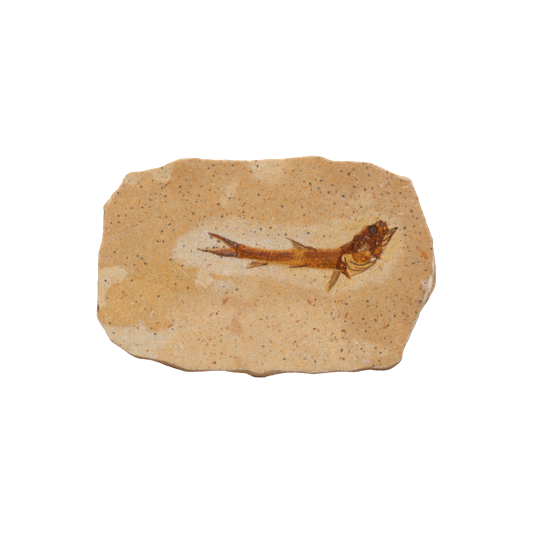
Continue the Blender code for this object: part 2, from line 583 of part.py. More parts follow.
def backbone_guides():
    """Points along the backbone, two for each vertebra, and beside it."""
    _, _, length = line_distance(np.zeros((1, 2)), BACKBONE)
    run = np.arange(0.0, length, VERTEBRA / 2.0)
    corners = np.array(BACKBONE)
    steps = np.linalg.norm(np.diff(corners, axis=0), axis=1)
    at = np.concatenate([[0.0], np.cumsum(steps)])
    crest = np.column_stack([np.interp(run, at, corners[:, 0]), np.interp(run, at, corners[:, 1])])
    side = np.array([0.0, BACKBONE_HALF])
    return [crest, crest[::2] + side, crest[::2] - side]


def eye_guides():
    """Circles at the crest and the inner foot of the eye's rim."""
    circles = []
    for radius, count in ((EYE_RADIUS, 14), (EYE_RADIUS - EYE_RIM, 10), (EYE_RADIUS + EYE_RIM, 14)):
        turn = np.linspace(0.0, 2.0 * np.pi, count + 1)
        circles.append(np.column_stack([EYE[0] + radius * np.cos(turn), EYE[1] + radius * np.sin(turn)]))
    return circles


def in_fish(points):
    """Which points lie inside the fish's plan."""
    held = np.zeros(len(points), dtype=bool)
    for outline in FISH_OUTLINES:
        held |= inside(points, outline)
    return held


def fish_plan():
    """Points and triangles of the fish's plan, with an edge along every bone."""
    guides = backbone_guides() + eye_guides()
    for bone in all_bones():
        guides += bone_guides(bone)
    dots = scattered(FISH_OUTLINES, GRID, SEED + 2)
    outlines = [outline + outline[:1] for outline in FISH_OUTLINES]
    dots = clear_of(dots, guides + outlines, 0.4)
    corners = []
    edges = []
    for outline in FISH_OUTLINES:
        edges += chained([outline], True, len(corners))
        corners += outline
    for guide in guides:
        for point, follows in zip(guide, guide[1:]):
            if in_fish(np.array([point, follows])).all():
                edges.append((len(corners), len(corners) + 1))
                corners += [tuple(point), tuple(follows)]
    corners += [tuple(dot) for dot in dots]
    points, triangles, _ = triangulate(corners, edges)
    middles = np.array([points[list(triangle)].mean(axis=0) for triangle in triangles])
    held = in_fish(middles)
    return points, [tuple(triangle) for triangle, keep in zip(triangles, held) if keep]


def border_edges(triangles):
    """The edges that only one triangle has, in that triangle's direction."""
    directed = set()
    for a, b, c in triangles:
        directed |= {(a, b), (b, c), (c, a)}
    return [(a, b) for a, b in directed if (b, a) not in directed]


def fish_mesh():
    """Corners and faces of the fish, in millimetres."""
    points, triangles = fish_plan()
    foot = face_height(points) + GAP
    crest = foot + fish_relief(points)
    used = sorted({corner for triangle in triangles for corner in triangle})
    verts = []
    above = {}
    for corner in used:
        above[corner] = len(verts)
        verts.append((points[corner][0], points[corner][1], crest[corner]))
    faces = [[above[corner] for corner in triangle] for triangle in triangles]
    border = sorted(border_edges(triangles))
    below = {}
    for corner in sorted({corner for edge in border for corner in edge}):
        below[corner] = len(verts)
        verts.append((points[corner][0], points[corner][1], foot[corner]))
    faces += [[above[b], above[a], below[a], below[b]] for a, b in border]
    add_fish_base(verts, faces, points, border, below)
    return verts, faces


def add_fish_base(verts, faces, points, border, below):
    """Closes the fish underneath with few, large triangles."""
    rim = sorted(below)
    place = {corner: index for index, corner in enumerate(rim)}
    corners = [tuple(points[corner]) for corner in rim]
    edges = [(place[a], place[b]) for a, b in border]
    outlines = [outline + outline[:1] for outline in FISH_OUTLINES]
    dots = clear_of(scattered(FISH_OUTLINES, 3.0 * GRID, SEED + 3), outlines, 1.0)
    corners += [tuple(dot) for dot in dots]
    flat, triangles, went = triangulate(corners, edges)
    number = {went[place[corner]]: below[corner] for corner in rim}
    heights = face_height(flat) + GAP
    for new, point in enumerate(flat):
        if new not in number:
            number[new] = len(verts)
            verts.append((point[0], point[1], heights[new]))
    middles = np.array([flat[list(triangle)].mean(axis=0) for triangle in triangles])
    held = in_fish(middles)
    faces += [[number[corner] for corner in triangle][::-1] for triangle, keep in zip(triangles, held) if keep]


def make_object(name, verts, faces, material, sharp_angle):
    """One closed, named piece, from corners in millimetres."""
    mesh = bpy.data.meshes.new(name)
    mesh.from_pydata([tuple(MM * np.array(corner)) for corner in verts], [], faces)
    shape = bmesh.new()
    shape.from_mesh(mesh)
    loose = [corner for corner in shape.verts if not corner.link_faces]
    bmesh.ops.delete(shape, geom=loose, context="VERTS")
    bmesh.ops.triangulate(shape, faces=shape.faces)
    bmesh.ops.recalc_face_normals(shape, faces=shape.faces)
    shape.to_mesh(mesh)
    shape.free()
    mesh.shade_smooth()
    mesh.set_sharp_from_angle(angle=sharp_angle)
    mesh.materials.append(material)
    piece = bpy.data.objects.new(name, mesh)
    bpy.context.scene.collection.objects.link(piece)
    return piece


def make_material(name, colour, roughness):
    """A plain material with the part's colour and roughness."""
    material = bpy.data.materials.new(name)
    material.use_nodes = True
    shader = material.node_tree.nodes["Principled BSDF"]
    shader.inputs["Base Color"].default_value = colour
    shader.inputs["Roughness"].default_value = roughness
    shader.inputs["Metallic"].default_value = 0.0
    return material


def centred(verts, middle):
    """The corners, moved so that the middle of the stone's plan is at X and Y zero."""
    return [(x - middle[0], y - middle[1], z) for x, y, z in verts]


def main():
    for piece in list(bpy.data.objects):
        bpy.data.objects.remove(piece)
    stone_verts, stone_faces = stone_mesh()
    plan = np.array(stone_verts)[:, :2]
    middle = (plan.min(axis=0) + plan.max(axis=0)) / 2.0
    fish_verts, fish_faces = fish_mesh()
    limestone = make_material("limestone", LIMESTONE_COLOUR, 0.85)
    bone = make_material("fossil_bone", BONE_COLOUR, 0.35)
    make_object("slab", centred(stone_verts, middle), stone_faces, limestone, np.radians(35.0))
    make_object("fish", centred(fish_verts, middle), fish_faces, bone, np.radians(50.0))


main()
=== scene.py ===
"""The looks of a small fossil fish on its slab of split limestone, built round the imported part.

Plans are drawn in millimetres on the stone's split face, X along the slab and Y across it. The slab is
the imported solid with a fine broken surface. The fish is a thin, finely modelled film of bone that lies on
that surface. Zones, stains and bones are painted on the points of both by the same shapes, so that the
colour runs on from one to the other, and the materials add the grain, the flecks and the gloss.
"""

import math
import random

import bmesh
import bpy
import numpy as np
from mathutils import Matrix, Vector, kdtree, noise
from mathutils.bvhtree import BVHTree
from mathutils.geometry import delaunay_2d_cdt

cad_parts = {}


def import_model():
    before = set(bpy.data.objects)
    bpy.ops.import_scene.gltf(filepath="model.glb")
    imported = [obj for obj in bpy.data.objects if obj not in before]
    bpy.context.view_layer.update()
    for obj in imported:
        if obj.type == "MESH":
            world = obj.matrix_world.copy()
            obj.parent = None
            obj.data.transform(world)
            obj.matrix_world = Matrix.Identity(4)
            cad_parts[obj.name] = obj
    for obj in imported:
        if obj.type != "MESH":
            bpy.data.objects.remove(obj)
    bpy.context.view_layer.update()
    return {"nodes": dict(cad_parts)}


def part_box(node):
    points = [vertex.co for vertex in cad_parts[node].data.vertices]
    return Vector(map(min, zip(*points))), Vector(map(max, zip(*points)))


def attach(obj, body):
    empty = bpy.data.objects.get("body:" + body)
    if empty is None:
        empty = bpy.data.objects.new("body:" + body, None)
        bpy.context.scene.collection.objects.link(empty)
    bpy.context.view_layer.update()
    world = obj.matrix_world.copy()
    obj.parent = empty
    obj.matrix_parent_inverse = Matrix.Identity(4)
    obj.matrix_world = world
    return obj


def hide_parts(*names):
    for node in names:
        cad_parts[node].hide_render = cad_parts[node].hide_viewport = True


MM = 0.001

# The fine surface of the stone, in millimetres.
FACE_EDGE = 0.76          # longest edge on the split face
FISH_EDGE = 0.42          # the same beside the fish
SIDE_EDGE = 0.95          # the same on the broken sides
BASE_EDGE = 3.5           # the same on the underside
BESIDE_FISH = (-2.2, 0.3)    # the finest stone lies between these depths in the fish's plan
REFINE_ROUNDS = 5
FACE_LOW = 8.2            # the split face lies above this height
SLOPE_LOW = 6.4           # and the broken slope at its right end above this
BASE_HIGH = 0.15          # the underside lies below this
FACE_UP = 0.6             # the split face is turned up more than this
FACE_SMOOTHING = (0.6, 10)   # weight and rounds, to round off the solid's facets on the split face
EDGE_SMOOTHING = (0.45, 2)   # the same everywhere but on the underside
LAMINAE = (0.0, 0.8, 1.5, 2.4, 3.0, 3.9, 4.6, 5.4, 6.0, 6.9, 7.6, 8.2, 8.8, 12.0)
LAMINA_STEP = 0.42        # the sides are set in by up to this much, layer by layer
LAMINA_LENGTH = 6.0       # over about this length along the rim
LAMINA_WAVE = 0.35        # the laminae rise and fall by this much
LAMINA_WAVE_LENGTH = 14.0
SIDE_SWELL = 0.3          # the sides are first moved out by this much
SIDE_GRAIN = 0.22
SIDE_TURN = (0.75, 0.3)   # a side that is turned up this much is smooth, and one this much fully broken
BASE_GRAIN = 0.12         # roughness of the underside
BASE_GRAIN_HIGH = 1.0     # which reaches up to this height
PATCH_REACH = 2.5         # a patch of the top layers is drawn this far past its border

# The fish's film, in millimetres.
LATTICE = 0.13            # spacing of the film's points
MARGIN = 0.45             # the film dips into the stone this far outside its outline
FILM = 0.05               # height of the bare film above the stone
BURIED = 0.13             # depth of its border in the stone
BASE_STEP = 1.1           # spacing of the points of its flat underside
FISH_LOW = (-27.0, -10.4)   # lowest X and Y of the outlines of the fish
FISH_REACH = 3.0          # depth in the fish's plan is worked out up to this far outside it
FAR_OUTSIDE = -9.0        # the depth that stands for every place beyond that
RIDGE_SPREAD = 1.35       # a bone's ridge is this much wider than its line
LATTICE_MARGIN = 1.0      # the lattice reaches this far past the outlines
RAY_START = 20.0          # the stone's height is looked for downwards from here

# Colours, linear red, green and blue.
TAN = (0.556, 0.326, 0.142)
WARM_TAN = (0.522, 0.288, 0.124)
DEEP_TAN = (0.505, 0.262, 0.098)
ROSY_TAN = (0.520, 0.312, 0.157)
PALE_TAN = (0.648, 0.430, 0.228)
ORANGE_SKIN = (0.600, 0.350, 0.136)
LEFT_SKIN = (0.562, 0.314, 0.110)
CREAM = (0.645, 0.488, 0.312)
STRIP_CREAM = (0.652, 0.472, 0.276)
GREY_CREAM = (0.614, 0.470, 0.322)
TRUNK_CREAM = (0.606, 0.442, 0.282)
YELLOW_CREAM = (0.618, 0.408, 0.198)
YELLOW = (0.616, 0.380, 0.128)
CHALK = (0.720, 0.585, 0.445)
PINK_CHALK = (0.650, 0.480, 0.410)
STAIN_RED = (0.500, 0.240, 0.105)
RUST = (0.410, 0.105, 0.024)
ORANGE_RUST = (0.470, 0.150, 0.020)
SIDE_STONE = (0.540, 0.315, 0.145)
FRONT_BROWN = (0.375, 0.170, 0.062)
SIDE_BROWN = (0.150, 0.056, 0.018)
# Pale chipped stone along the rim; where it follows the rim it is partly a painted highlight.
CREAM_EDGE_AND_HIGHLIGHT = (0.660, 0.520, 0.370)
LEDGE_WHITE = (0.800, 0.700, 0.580)
TOP_CREAM = (0.590, 0.412, 0.228)

# The broken sides, in millimetres: where they take on the face's colour, and where they are brown.
FACE_COLOUR_LOW = 3.0
FACE_COLOUR_RISE = 3.6
FACE_COLOUR_SHARE = 0.85
FRONT_START = 14.0        # the front's brown begins this far towards the front, and is full after the fade
FRONT_FADE = 12.0
BROWN_HIGH = 3.8          # the foot is brown up to this height
BROWN_FADE = 2.6
PALE_RIM_AND_HIGHLIGHT = 0.8            # the pale rim, bare chipped stone and partly a painted highlight, is about this wide

AMBER_PALE = (0.530, 0.262, 0.048)
AMBER = (0.465, 0.172, 0.008)
AMBER_DEEP = (0.385, 0.128, 0.0)
BARE_AMBER = (0.540, 0.285, 0.078)
ORANGE_BROWN = (0.345, 0.078, 0.0)
RED_BROWN = (0.200, 0.036, 0.004)
SKULL = (0.130, 0.027, 0.008)
CHEEK = (0.250, 0.080, 0.025)
TAIL_BROWN = (0.360, 0.125, 0.045)
LINE_BROWN = (0.370, 0.160, 0.075)
# Pale bone; along the top of the gill cover it is a painted highlight streak.
PALE_SPOT_AND_HIGHLIGHT = (0.680, 0.480, 0.280)
OLIVE = (0.270, 0.190, 0.080)
DARK = (0.105, 0.025, 0.009)
BLACK_BROWN = (0.045, 0.017, 0.011)
UMBER = (0.200, 0.080, 0.035)
RAY_BROWN = (0.240, 0.095, 0.040)
WEB_BROWN = (0.480, 0.245, 0.095)
PURPLE = (0.125, 0.055, 0.046)
GREY_BLUE = (0.150, 0.074, 0.055)
# A painted highlight colour: lilac glints on the glossy bone.
HIGHLIGHT_LILAC = (0.340, 0.250, 0.260)
EYE_RING = (0.034, 0.018, 0.013)
EYE_MIDDLE = (0.068, 0.036, 0.023)
# A painted highlight colour: pale glints on the glossy bone.
HIGHLIGHT_PALE = (0.720, 0.560, 0.490)
SPECK = (0.072, 0.058, 0.050)
SPECK_RED = (0.180, 0.060, 0.035)

# The camera, the light and the floor, in metres, degrees and watts.
SENSOR = 36.0
VIEW_WIDTH = 0.2044
CAMERA_DISTANCE = 1.0
CAMERA_ELEVATION = 84.0
CAMERA_TARGET = (0.0, 0.0, 0.00475)
WORLD_LIGHT = 0.46
FLOOR_GLOW = 1.0
KEY_PLACE = (-0.24, 1.24, 1.60)
KEY_SIZE = 0.9
KEY_POWER = 32.5
FLOOR_GREY = 0.3
FLOOR_HALF = 3.0
FLOOR_DROP = 0.00002      # the floor lies this far under the stone

# Zones of the split face, drawn in this order: colour, amount, width of the soft border, outline.
STONE_ZONES = [
    (PALE_TAN, 0.95, 13, [
        (-40, -15), (-10, -12), (12, -14), (27, -18), (35, -30), (38, -46), (-70, -46), (-66, -24)]),
    (ROSY_TAN, 0.85, 10, [
        (20, 23), (26, 48), (72, 48), (72, -20), (58, -30), (50, -14), (55, 4), (50, 23)]),
    (WARM_TAN, 0.75, 8, [(54, 16), (72, 18), (70, -30), (53, -26), (46, -12), (55, 0)]),
    (WARM_TAN, 0.45, 6, [(28, -20), (38, -17), (49, -21), (48, -30), (40, -31), (31, -28)]),
    (WARM_TAN, 0.6, 6, [(-32, 45), (-34, 36), (-26, 32), (-12, 35), (-8, 39), (-9, 45)]),
    (ROSY_TAN, 0.6, 5, [(-31, 33), (-33, 42), (-25, 42), (-24, 35)]),
    (DEEP_TAN, 0.75, 5, [(-38, 37.5), (-34, 39.5), (-27, 38.5), (-26, 31), (-33, 27), (-41, 30)]),
    (DEEP_TAN, 0.65, 6, [(19, 41.5), (36, 41), (41, 36), (34, 30), (22, 31)]),
    (DEEP_TAN, 0.5, 4, [(48, 36), (55, 35), (57, 29), (52, 27), (47, 31)]),
    (STRIP_CREAM, 0.6, 4, [(-8, 43), (7, 44), (9, 39), (3, 31), (-6, 34)]),
    (GREY_CREAM, 0.8, 1.8, [(-5.4, 39.6), (-2.6, 40.6), (-1.2, 38.8), (-3.4, 37.4)]),
    (LEFT_SKIN, 0.85, 2.2, [
        (-54, -3.6), (-50, -1), (-44, 1.2), (-38, 2.6), (-33, 1.4), (-28, 0.3), (-24, -1.2), (-25.5, -3),
        (-27, -3.6), (-27.6, -6), (-27.6, -8), (-30, -9.6), (-33, -12), (-37, -14), (-45, -13), (-52, -9)]),
    (TRUNK_CREAM, 0.85, 3.4, [
        (-37.5, 3), (-34, 8), (-31, 12.5), (-27, 15.5), (-21, 17.6), (-14, 19), (-8, 17.6), (0, 15.6),
        (10, 15.4), (20, 15.4), (29, 18.4), (38, 20.6), (45, 20.6), (50.5, 18.8), (52, 12), (51.6, 6),
        (48.6, 0), (46, -4.6), (40, -6.4), (36, -7.6), (30, -10.2), (25, -10.8), (20, -9.4), (14, -7.8),
        (8, -6), (0, -4.6), (-9, -4), (-14, -3.5), (-20, -2.4), (-24, -1), (-29, 0.4), (-34, 1.6)]),
    (GREY_CREAM, 0.85, 3.4, [
        (-35, 4), (-31.5, 9), (-27, 13), (-20, 15.8), (-12, 14.6), (-2, 12.2), (8, 11.8), (15, 10.8),
        (19.6, 9), (18.6, 7), (10, 6), (-4, -0.6), (-8, -3), (-14, -3), (-20, -1.8), (-24, -0.6),
        (-30, 1.2)]),
    (PALE_TAN, 0.45, 3, [
        (-29, 12), (-25, 16), (-18, 18.4), (-10, 18.6), (0, 16), (12, 15.4), (14, 11.4), (2, 10.4),
        (-8, 11), (-16, 13.4), (-22, 13.2)]),
    (STRIP_CREAM, 0.34, 3, [(-15, -5), (-4, -5.4), (-2, -10), (-8, -12.4), (-15, -11)]),
    (ORANGE_SKIN, 0.5, 4, [(-46, 3), (-46, 10), (-39, 12), (-37.6, 6), (-39, 2)]),
    (YELLOW_CREAM, 0.85, 3.6, [
        (12, -6.6), (16, -8), (24, -10.2), (31, -9.4), (37, -6.4), (44, -3.8), (48, 1.5), (50.8, 9),
        (50.6, 17.6), (45, 20.2), (38, 20.2), (30, 18.4), (22, 16), (15.4, 13.6), (17.6, 9.4), (19, 5),
        (8, 1), (6, -3.6)]),
    (YELLOW, 0.7, 2.6, [(44.5, 3), (47, 8), (49.6, 12.4), (50.6, 9), (49.2, 4), (47, 1)]),
    (YELLOW, 0.75, 2.6, [(30, 14.4), (34, 17.4), (40, 19.4), (44, 19), (38, 16.4), (33, 13.2)]),
    (YELLOW, 0.5, 2.6, [(19, -3.6), (28, -5), (34, -6.4), (31, -9), (24, -9)]),
    (STRIP_CREAM, 0.55, 2.4, [(-19, 25.6), (-16, 28), (-13, 32.4), (-10.6, 32), (-13, 27), (-16.6, 22.4)]),
    (STRIP_CREAM, 0.5, 2.6, [(31, 25), (37, 29.6), (41, 28.4), (41.6, 24.6), (36, 22), (29, 21.4)]),
    (STRIP_CREAM, 0.5, 2.4, [(33, -28.6), (43, -29.6), (48, -33), (40, -35.6), (33.6, -33)]),
    (PINK_CHALK, 0.6, 1.6, [(58.4, -5.6), (61.6, -5), (62.6, -8.4), (59.6, -9.2)]),
    (PINK_CHALK, 0.65, 1, [(36.2, -35.8), (38.8, -35.4), (39.8, -37), (37, -37.8)]),
    (STAIN_RED, 0.55, 2.2, [(-13.4, -19.6), (-10.4, -19), (-9.2, -23), (-10.6, -26), (-13.6, -24.6)]),
    (STAIN_RED, 0.4, 3, [(-17.4, -13), (-11, -12.4), (-4.6, -14.4), (-7, -17.6), (-15, -17)]),
    (STAIN_RED, 0.45, 2.2, [(-12.4, -34.6), (-9.6, -34.8), (-8.6, -39), (-11, -38.6)]),
]

# Patches of the top layers with a crisp, ragged border: colour, amount, outline.
PATCHES = [
    (ORANGE_SKIN, 0.95, [
        (-62, -11), (-60.3, -8.2), (-56.5, -6.9), (-53.3, -4), (-47, -6), (-40, -7), (-35, -9.5),
        (-36, -14.5), (-38, -17), (-39, -19), (-37.4, -20.4), (-36.4, -22.3), (-37.5, -23.5), (-40, -23),
        (-42, -24.2), (-44, -24.6), (-46.2, -22.6), (-46.6, -20.4), (-48, -20), (-49, -21.6), (-52, -22.9),
        (-57, -22.9), (-60, -22.6), (-62.6, -19), (-63.6, -16.5), (-61, -15.4), (-62, -13)]),
    (STRIP_CREAM, 0.9, [
        (-67, -1), (-60, -0.3), (-57, -0.2), (-54, -1.2), (-52.6, -2.6), (-53.4, -4), (-56, -6.4),
        (-59.6, -7.4), (-60.8, -9.5), (-62, -12), (-61, -14.6), (-63.5, -16.3), (-67, -14)]),
    (CREAM, 0.85, [
        (-66.5, -18.5), (-62, -22.6), (-57, -23.4), (-52, -23.4), (-49, -22.3), (-47.3, -20.7),
        (-46.2, -23.5), (-44, -25.4), (-41.5, -25), (-38, -24.2), (-35.2, -23.2), (-33.6, -25),
        (-36, -27.6), (-38, -29.6), (-41, -31), (-42, -36.5), (-50, -38), (-60, -33)]),
    (GREY_CREAM, 0.5, [
        (-34.8, 9.6), (-34.4, 5.6), (-34, 2.8), (-31.3, 1.2), (-26.7, 0.4), (-22.8, -1.7), (-14.4, -2.4),
        (-8.7, -2.9), (-10, -1.6), (-20, -0.9), (-24.4, 0), (-28, 3), (-30.5, 6), (-31.5, 9.5), (-31, 12.5),
        (-33.4, 12.2)]),
    (CREAM, 0.72, [
        (-26.8, -2.9), (-25.2, -1.4), (-22.6, -0.8), (-20.9, -2.2), (-21.7, -3.6), (-19.6, -5.2),
        (-21.2, -6.9), (-23.4, -8.3), (-25, -7.1), (-26.5, -7.5), (-27.5, -5.2)]),
    (GREY_CREAM, 0.6, [
        (-20.4, -6.2), (-17.6, -5.2), (-15.8, -6.1), (-13.6, -5), (-12.4, -7), (-14.6, -8), (-15.4, -9.6),
        (-18, -11), (-19.6, -9.4), (-21.4, -9.6)]),
    (ORANGE_SKIN, 0.6, [(-20, -2.6), (-16.6, -3), (-14.6, -4), (-17, -5), (-20, -4.8)]),
    (TOP_CREAM, 0.9, [
        (-55.4, 33), (-54, 37.4), (-50, 37.6), (-46, 36.4), (-48.4, 34.4), (-50, 32), (-51.2, 30.6),
        (-52.6, 31.6), (-54, 32.2)]),
    (TOP_CREAM, 0.9, [
        (-46, 36), (-44, 40), (-35, 40.6), (-35.6, 38), (-36.6, 36.4), (-37, 33.4), (-38.8, 32.3),
        (-41.2, 32.8), (-43.2, 34.4), (-44.6, 36.2)]),
    (STRIP_CREAM, 0.65, [(-63, 24.2), (-60.2, 27.4), (-57.6, 28.4), (-58.6, 26), (-60.6, 23.4)]),
    (ORANGE_SKIN, 0.7, [(-43.4, -31), (-42.2, -30.4), (-41, -31.8), (-41.6, -33.4), (-43, -33)]),
]

# The most marked mineral specks: place and width.
SPECKS = [
    (-61.5, -5.6, 1.2), (-59.7, -21.7, 1.2), (-58, 5.4, 1.4), (-56.8, 28.2, 1.2), (-53.2, 3.3, 1.2),
    (-51.5, -5.4, 1.4), (-49.1, -23.6, 1.2), (-48, 30.7, 1.3), (-46.3, 1.1, 1.5), (-41.2, -11.5, 1.3),
    (-40, 30.1, 1.3), (-38.7, 27, 1.2), (-37.1, 16.1, 1.4), (-36.6, 2.6, 1.3), (-34.8, -6.8, 1.2),
    (-33.1, 30.6, 1.4), (-30, -8.3, 1.4), (-28, 20.3, 1.2), (-21.7, 29.4, 1.2), (-18.9, -18.1, 1.2),
    (-16.9, 19.2, 1.3), (-14, 26.2, 1.3), (-12.9, 38.9, 1.3), (-11.3, -8.9, 1.2), (-3.5, 38.6, 1.2),
    (-2.2, 14.3, 1.2), (1.5, 14.8, 1.2), (6.7, -35.5, 1.4), (16, 12.8, 1.2), (18.3, -24, 1.4),
    (28.6, -32.2, 1.4), (29.4, 27, 1.5), (30.5, -14.5, 1.3), (31.6, 35.5, 1.5), (33.5, 30.6, 1.2),
    (36.1, -31.6, 1.2), (38.6, -13.4, 1.2), (40.4, 29.9, 1.2), (40.8, -38, 1.2), (41.5, -31.2, 1.2),
    (46.3, -22.7, 1.4), (46.3, 36.4, 1.2), (48.9, -19, 1.5), (50.8, -5.1, 1.2), (53.1, 12, 1.3),
    (53.3, -30.2, 1.2), (57, -17.6, 1.2), (63.1, 6.8, 1.2),
]

# Specks and flecks scattered at random: colour, how many, widths, strengths, corners of their field.
SPECK_FIELDS = [
    (SPECK, 75, (0.55, 1), (0.55, 0.9), (18, -36), (62, -10)),
    (SPECK, 16, (0.55, 1), (0.55, 0.9), (52, -8), (64, 16)),
    (SPECK, 110, (0.55, 1), (0.55, 0.9), (-60, 12), (0, 38)),
    (SPECK, 120, (0.55, 1.05), (0.55, 0.9), (14, 18), (62, 41)),
    (SPECK, 270, (0.55, 1), (0.55, 0.9), (-64, -42), (65, 43)),
    (SPECK, 800, (0.3, 0.55), (0.35, 0.8), (-64, -42), (65, 43)),
]
FLECK_FIELDS = [
    (RUST, 270, (0.4, 0.95), (0.35, 0.85), (-50, 18), (62, 41)),
    (RUST, 200, (0.4, 0.95), (0.35, 0.8), (18, -36), (64, 22)),
    (RUST, 90, (0.4, 0.95), (0.35, 0.8), (-24, -38), (16, -10)),
    (RUST, 80, (0.4, 0.9), (0.35, 0.8), (50, -8), (64, 16)),
    (CHALK, 120, (0.4, 0.8), (0.3, 0.7), (-30, 18), (62, 41)),
    (CHALK, 80, (0.4, 0.8), (0.3, 0.7), (18, -36), (62, 22)),
    (RUST, 800, (0.35, 0.7), (0.3, 0.75), (-64, -42), (65, 43)),
    (CHALK, 900, (0.35, 0.7), (0.25, 0.65), (-64, -42), (65, 43)),
]
SPECK_SEED = 23
GROUPED = 0.45            # share of the specks that lie near the one before
GROUP_SPREAD = 1.5
MARK_GAP = 0.95           # least clear distance between two marks of one kind
MARK_REACH = 0.85         # the points this close to a mark know their place in it
FAR_AWAY = 40.0           # the place in a mark that is given to all other points
MARK_SHAKE = 1.25         # how ragged the marks are, as a share of their size
MARK_FADE = (1.2, 0.75)   # a mark fades in between these parts of its size
MARK_CUT = (0.62, 0.46)   # and ends between these distances from its ellipse, in millimetres

# The materials.
BUMP = 0.00008            # height of the finest bump, in metres
BUMP_STRENGTH = 0.5
STONE_ROUGHNESS = (0.88, 0.4)     # of dull and of fully glossy stone
BONE_ROUGHNESS = (0.85, 0.26)     # the same for the film
STONE_SPECULAR = 0.04
BONE_SPECULAR = 0.06
BROAD_TONES = ((1.04, 0.97, 0.86, 1.0), (0.98, 1.04, 1.14, 1.0))   # the stone's colour times these
FINE_TONES = ((0.86, 0.77, 0.58, 1.0), (1.11, 1.19, 1.38, 1.0))    # and times these, in finer patches
BONE_TONES = ((0.68, 0.54, 0.60, 1.0), (1.36, 1.34, 0.95, 1.0))    # the same for the bone
MOTTLE_DARKER = (0.45, 0.65, 0.8)      # share of each channel that the darker patches of bone lose
MOTTLE_LIGHTER = (0.19, 0.07, 0.004)   # what the lighter ones gain
BONE_DEPTH = (1.16, 1.18)              # factor and power that deepen the colour of glossy bone

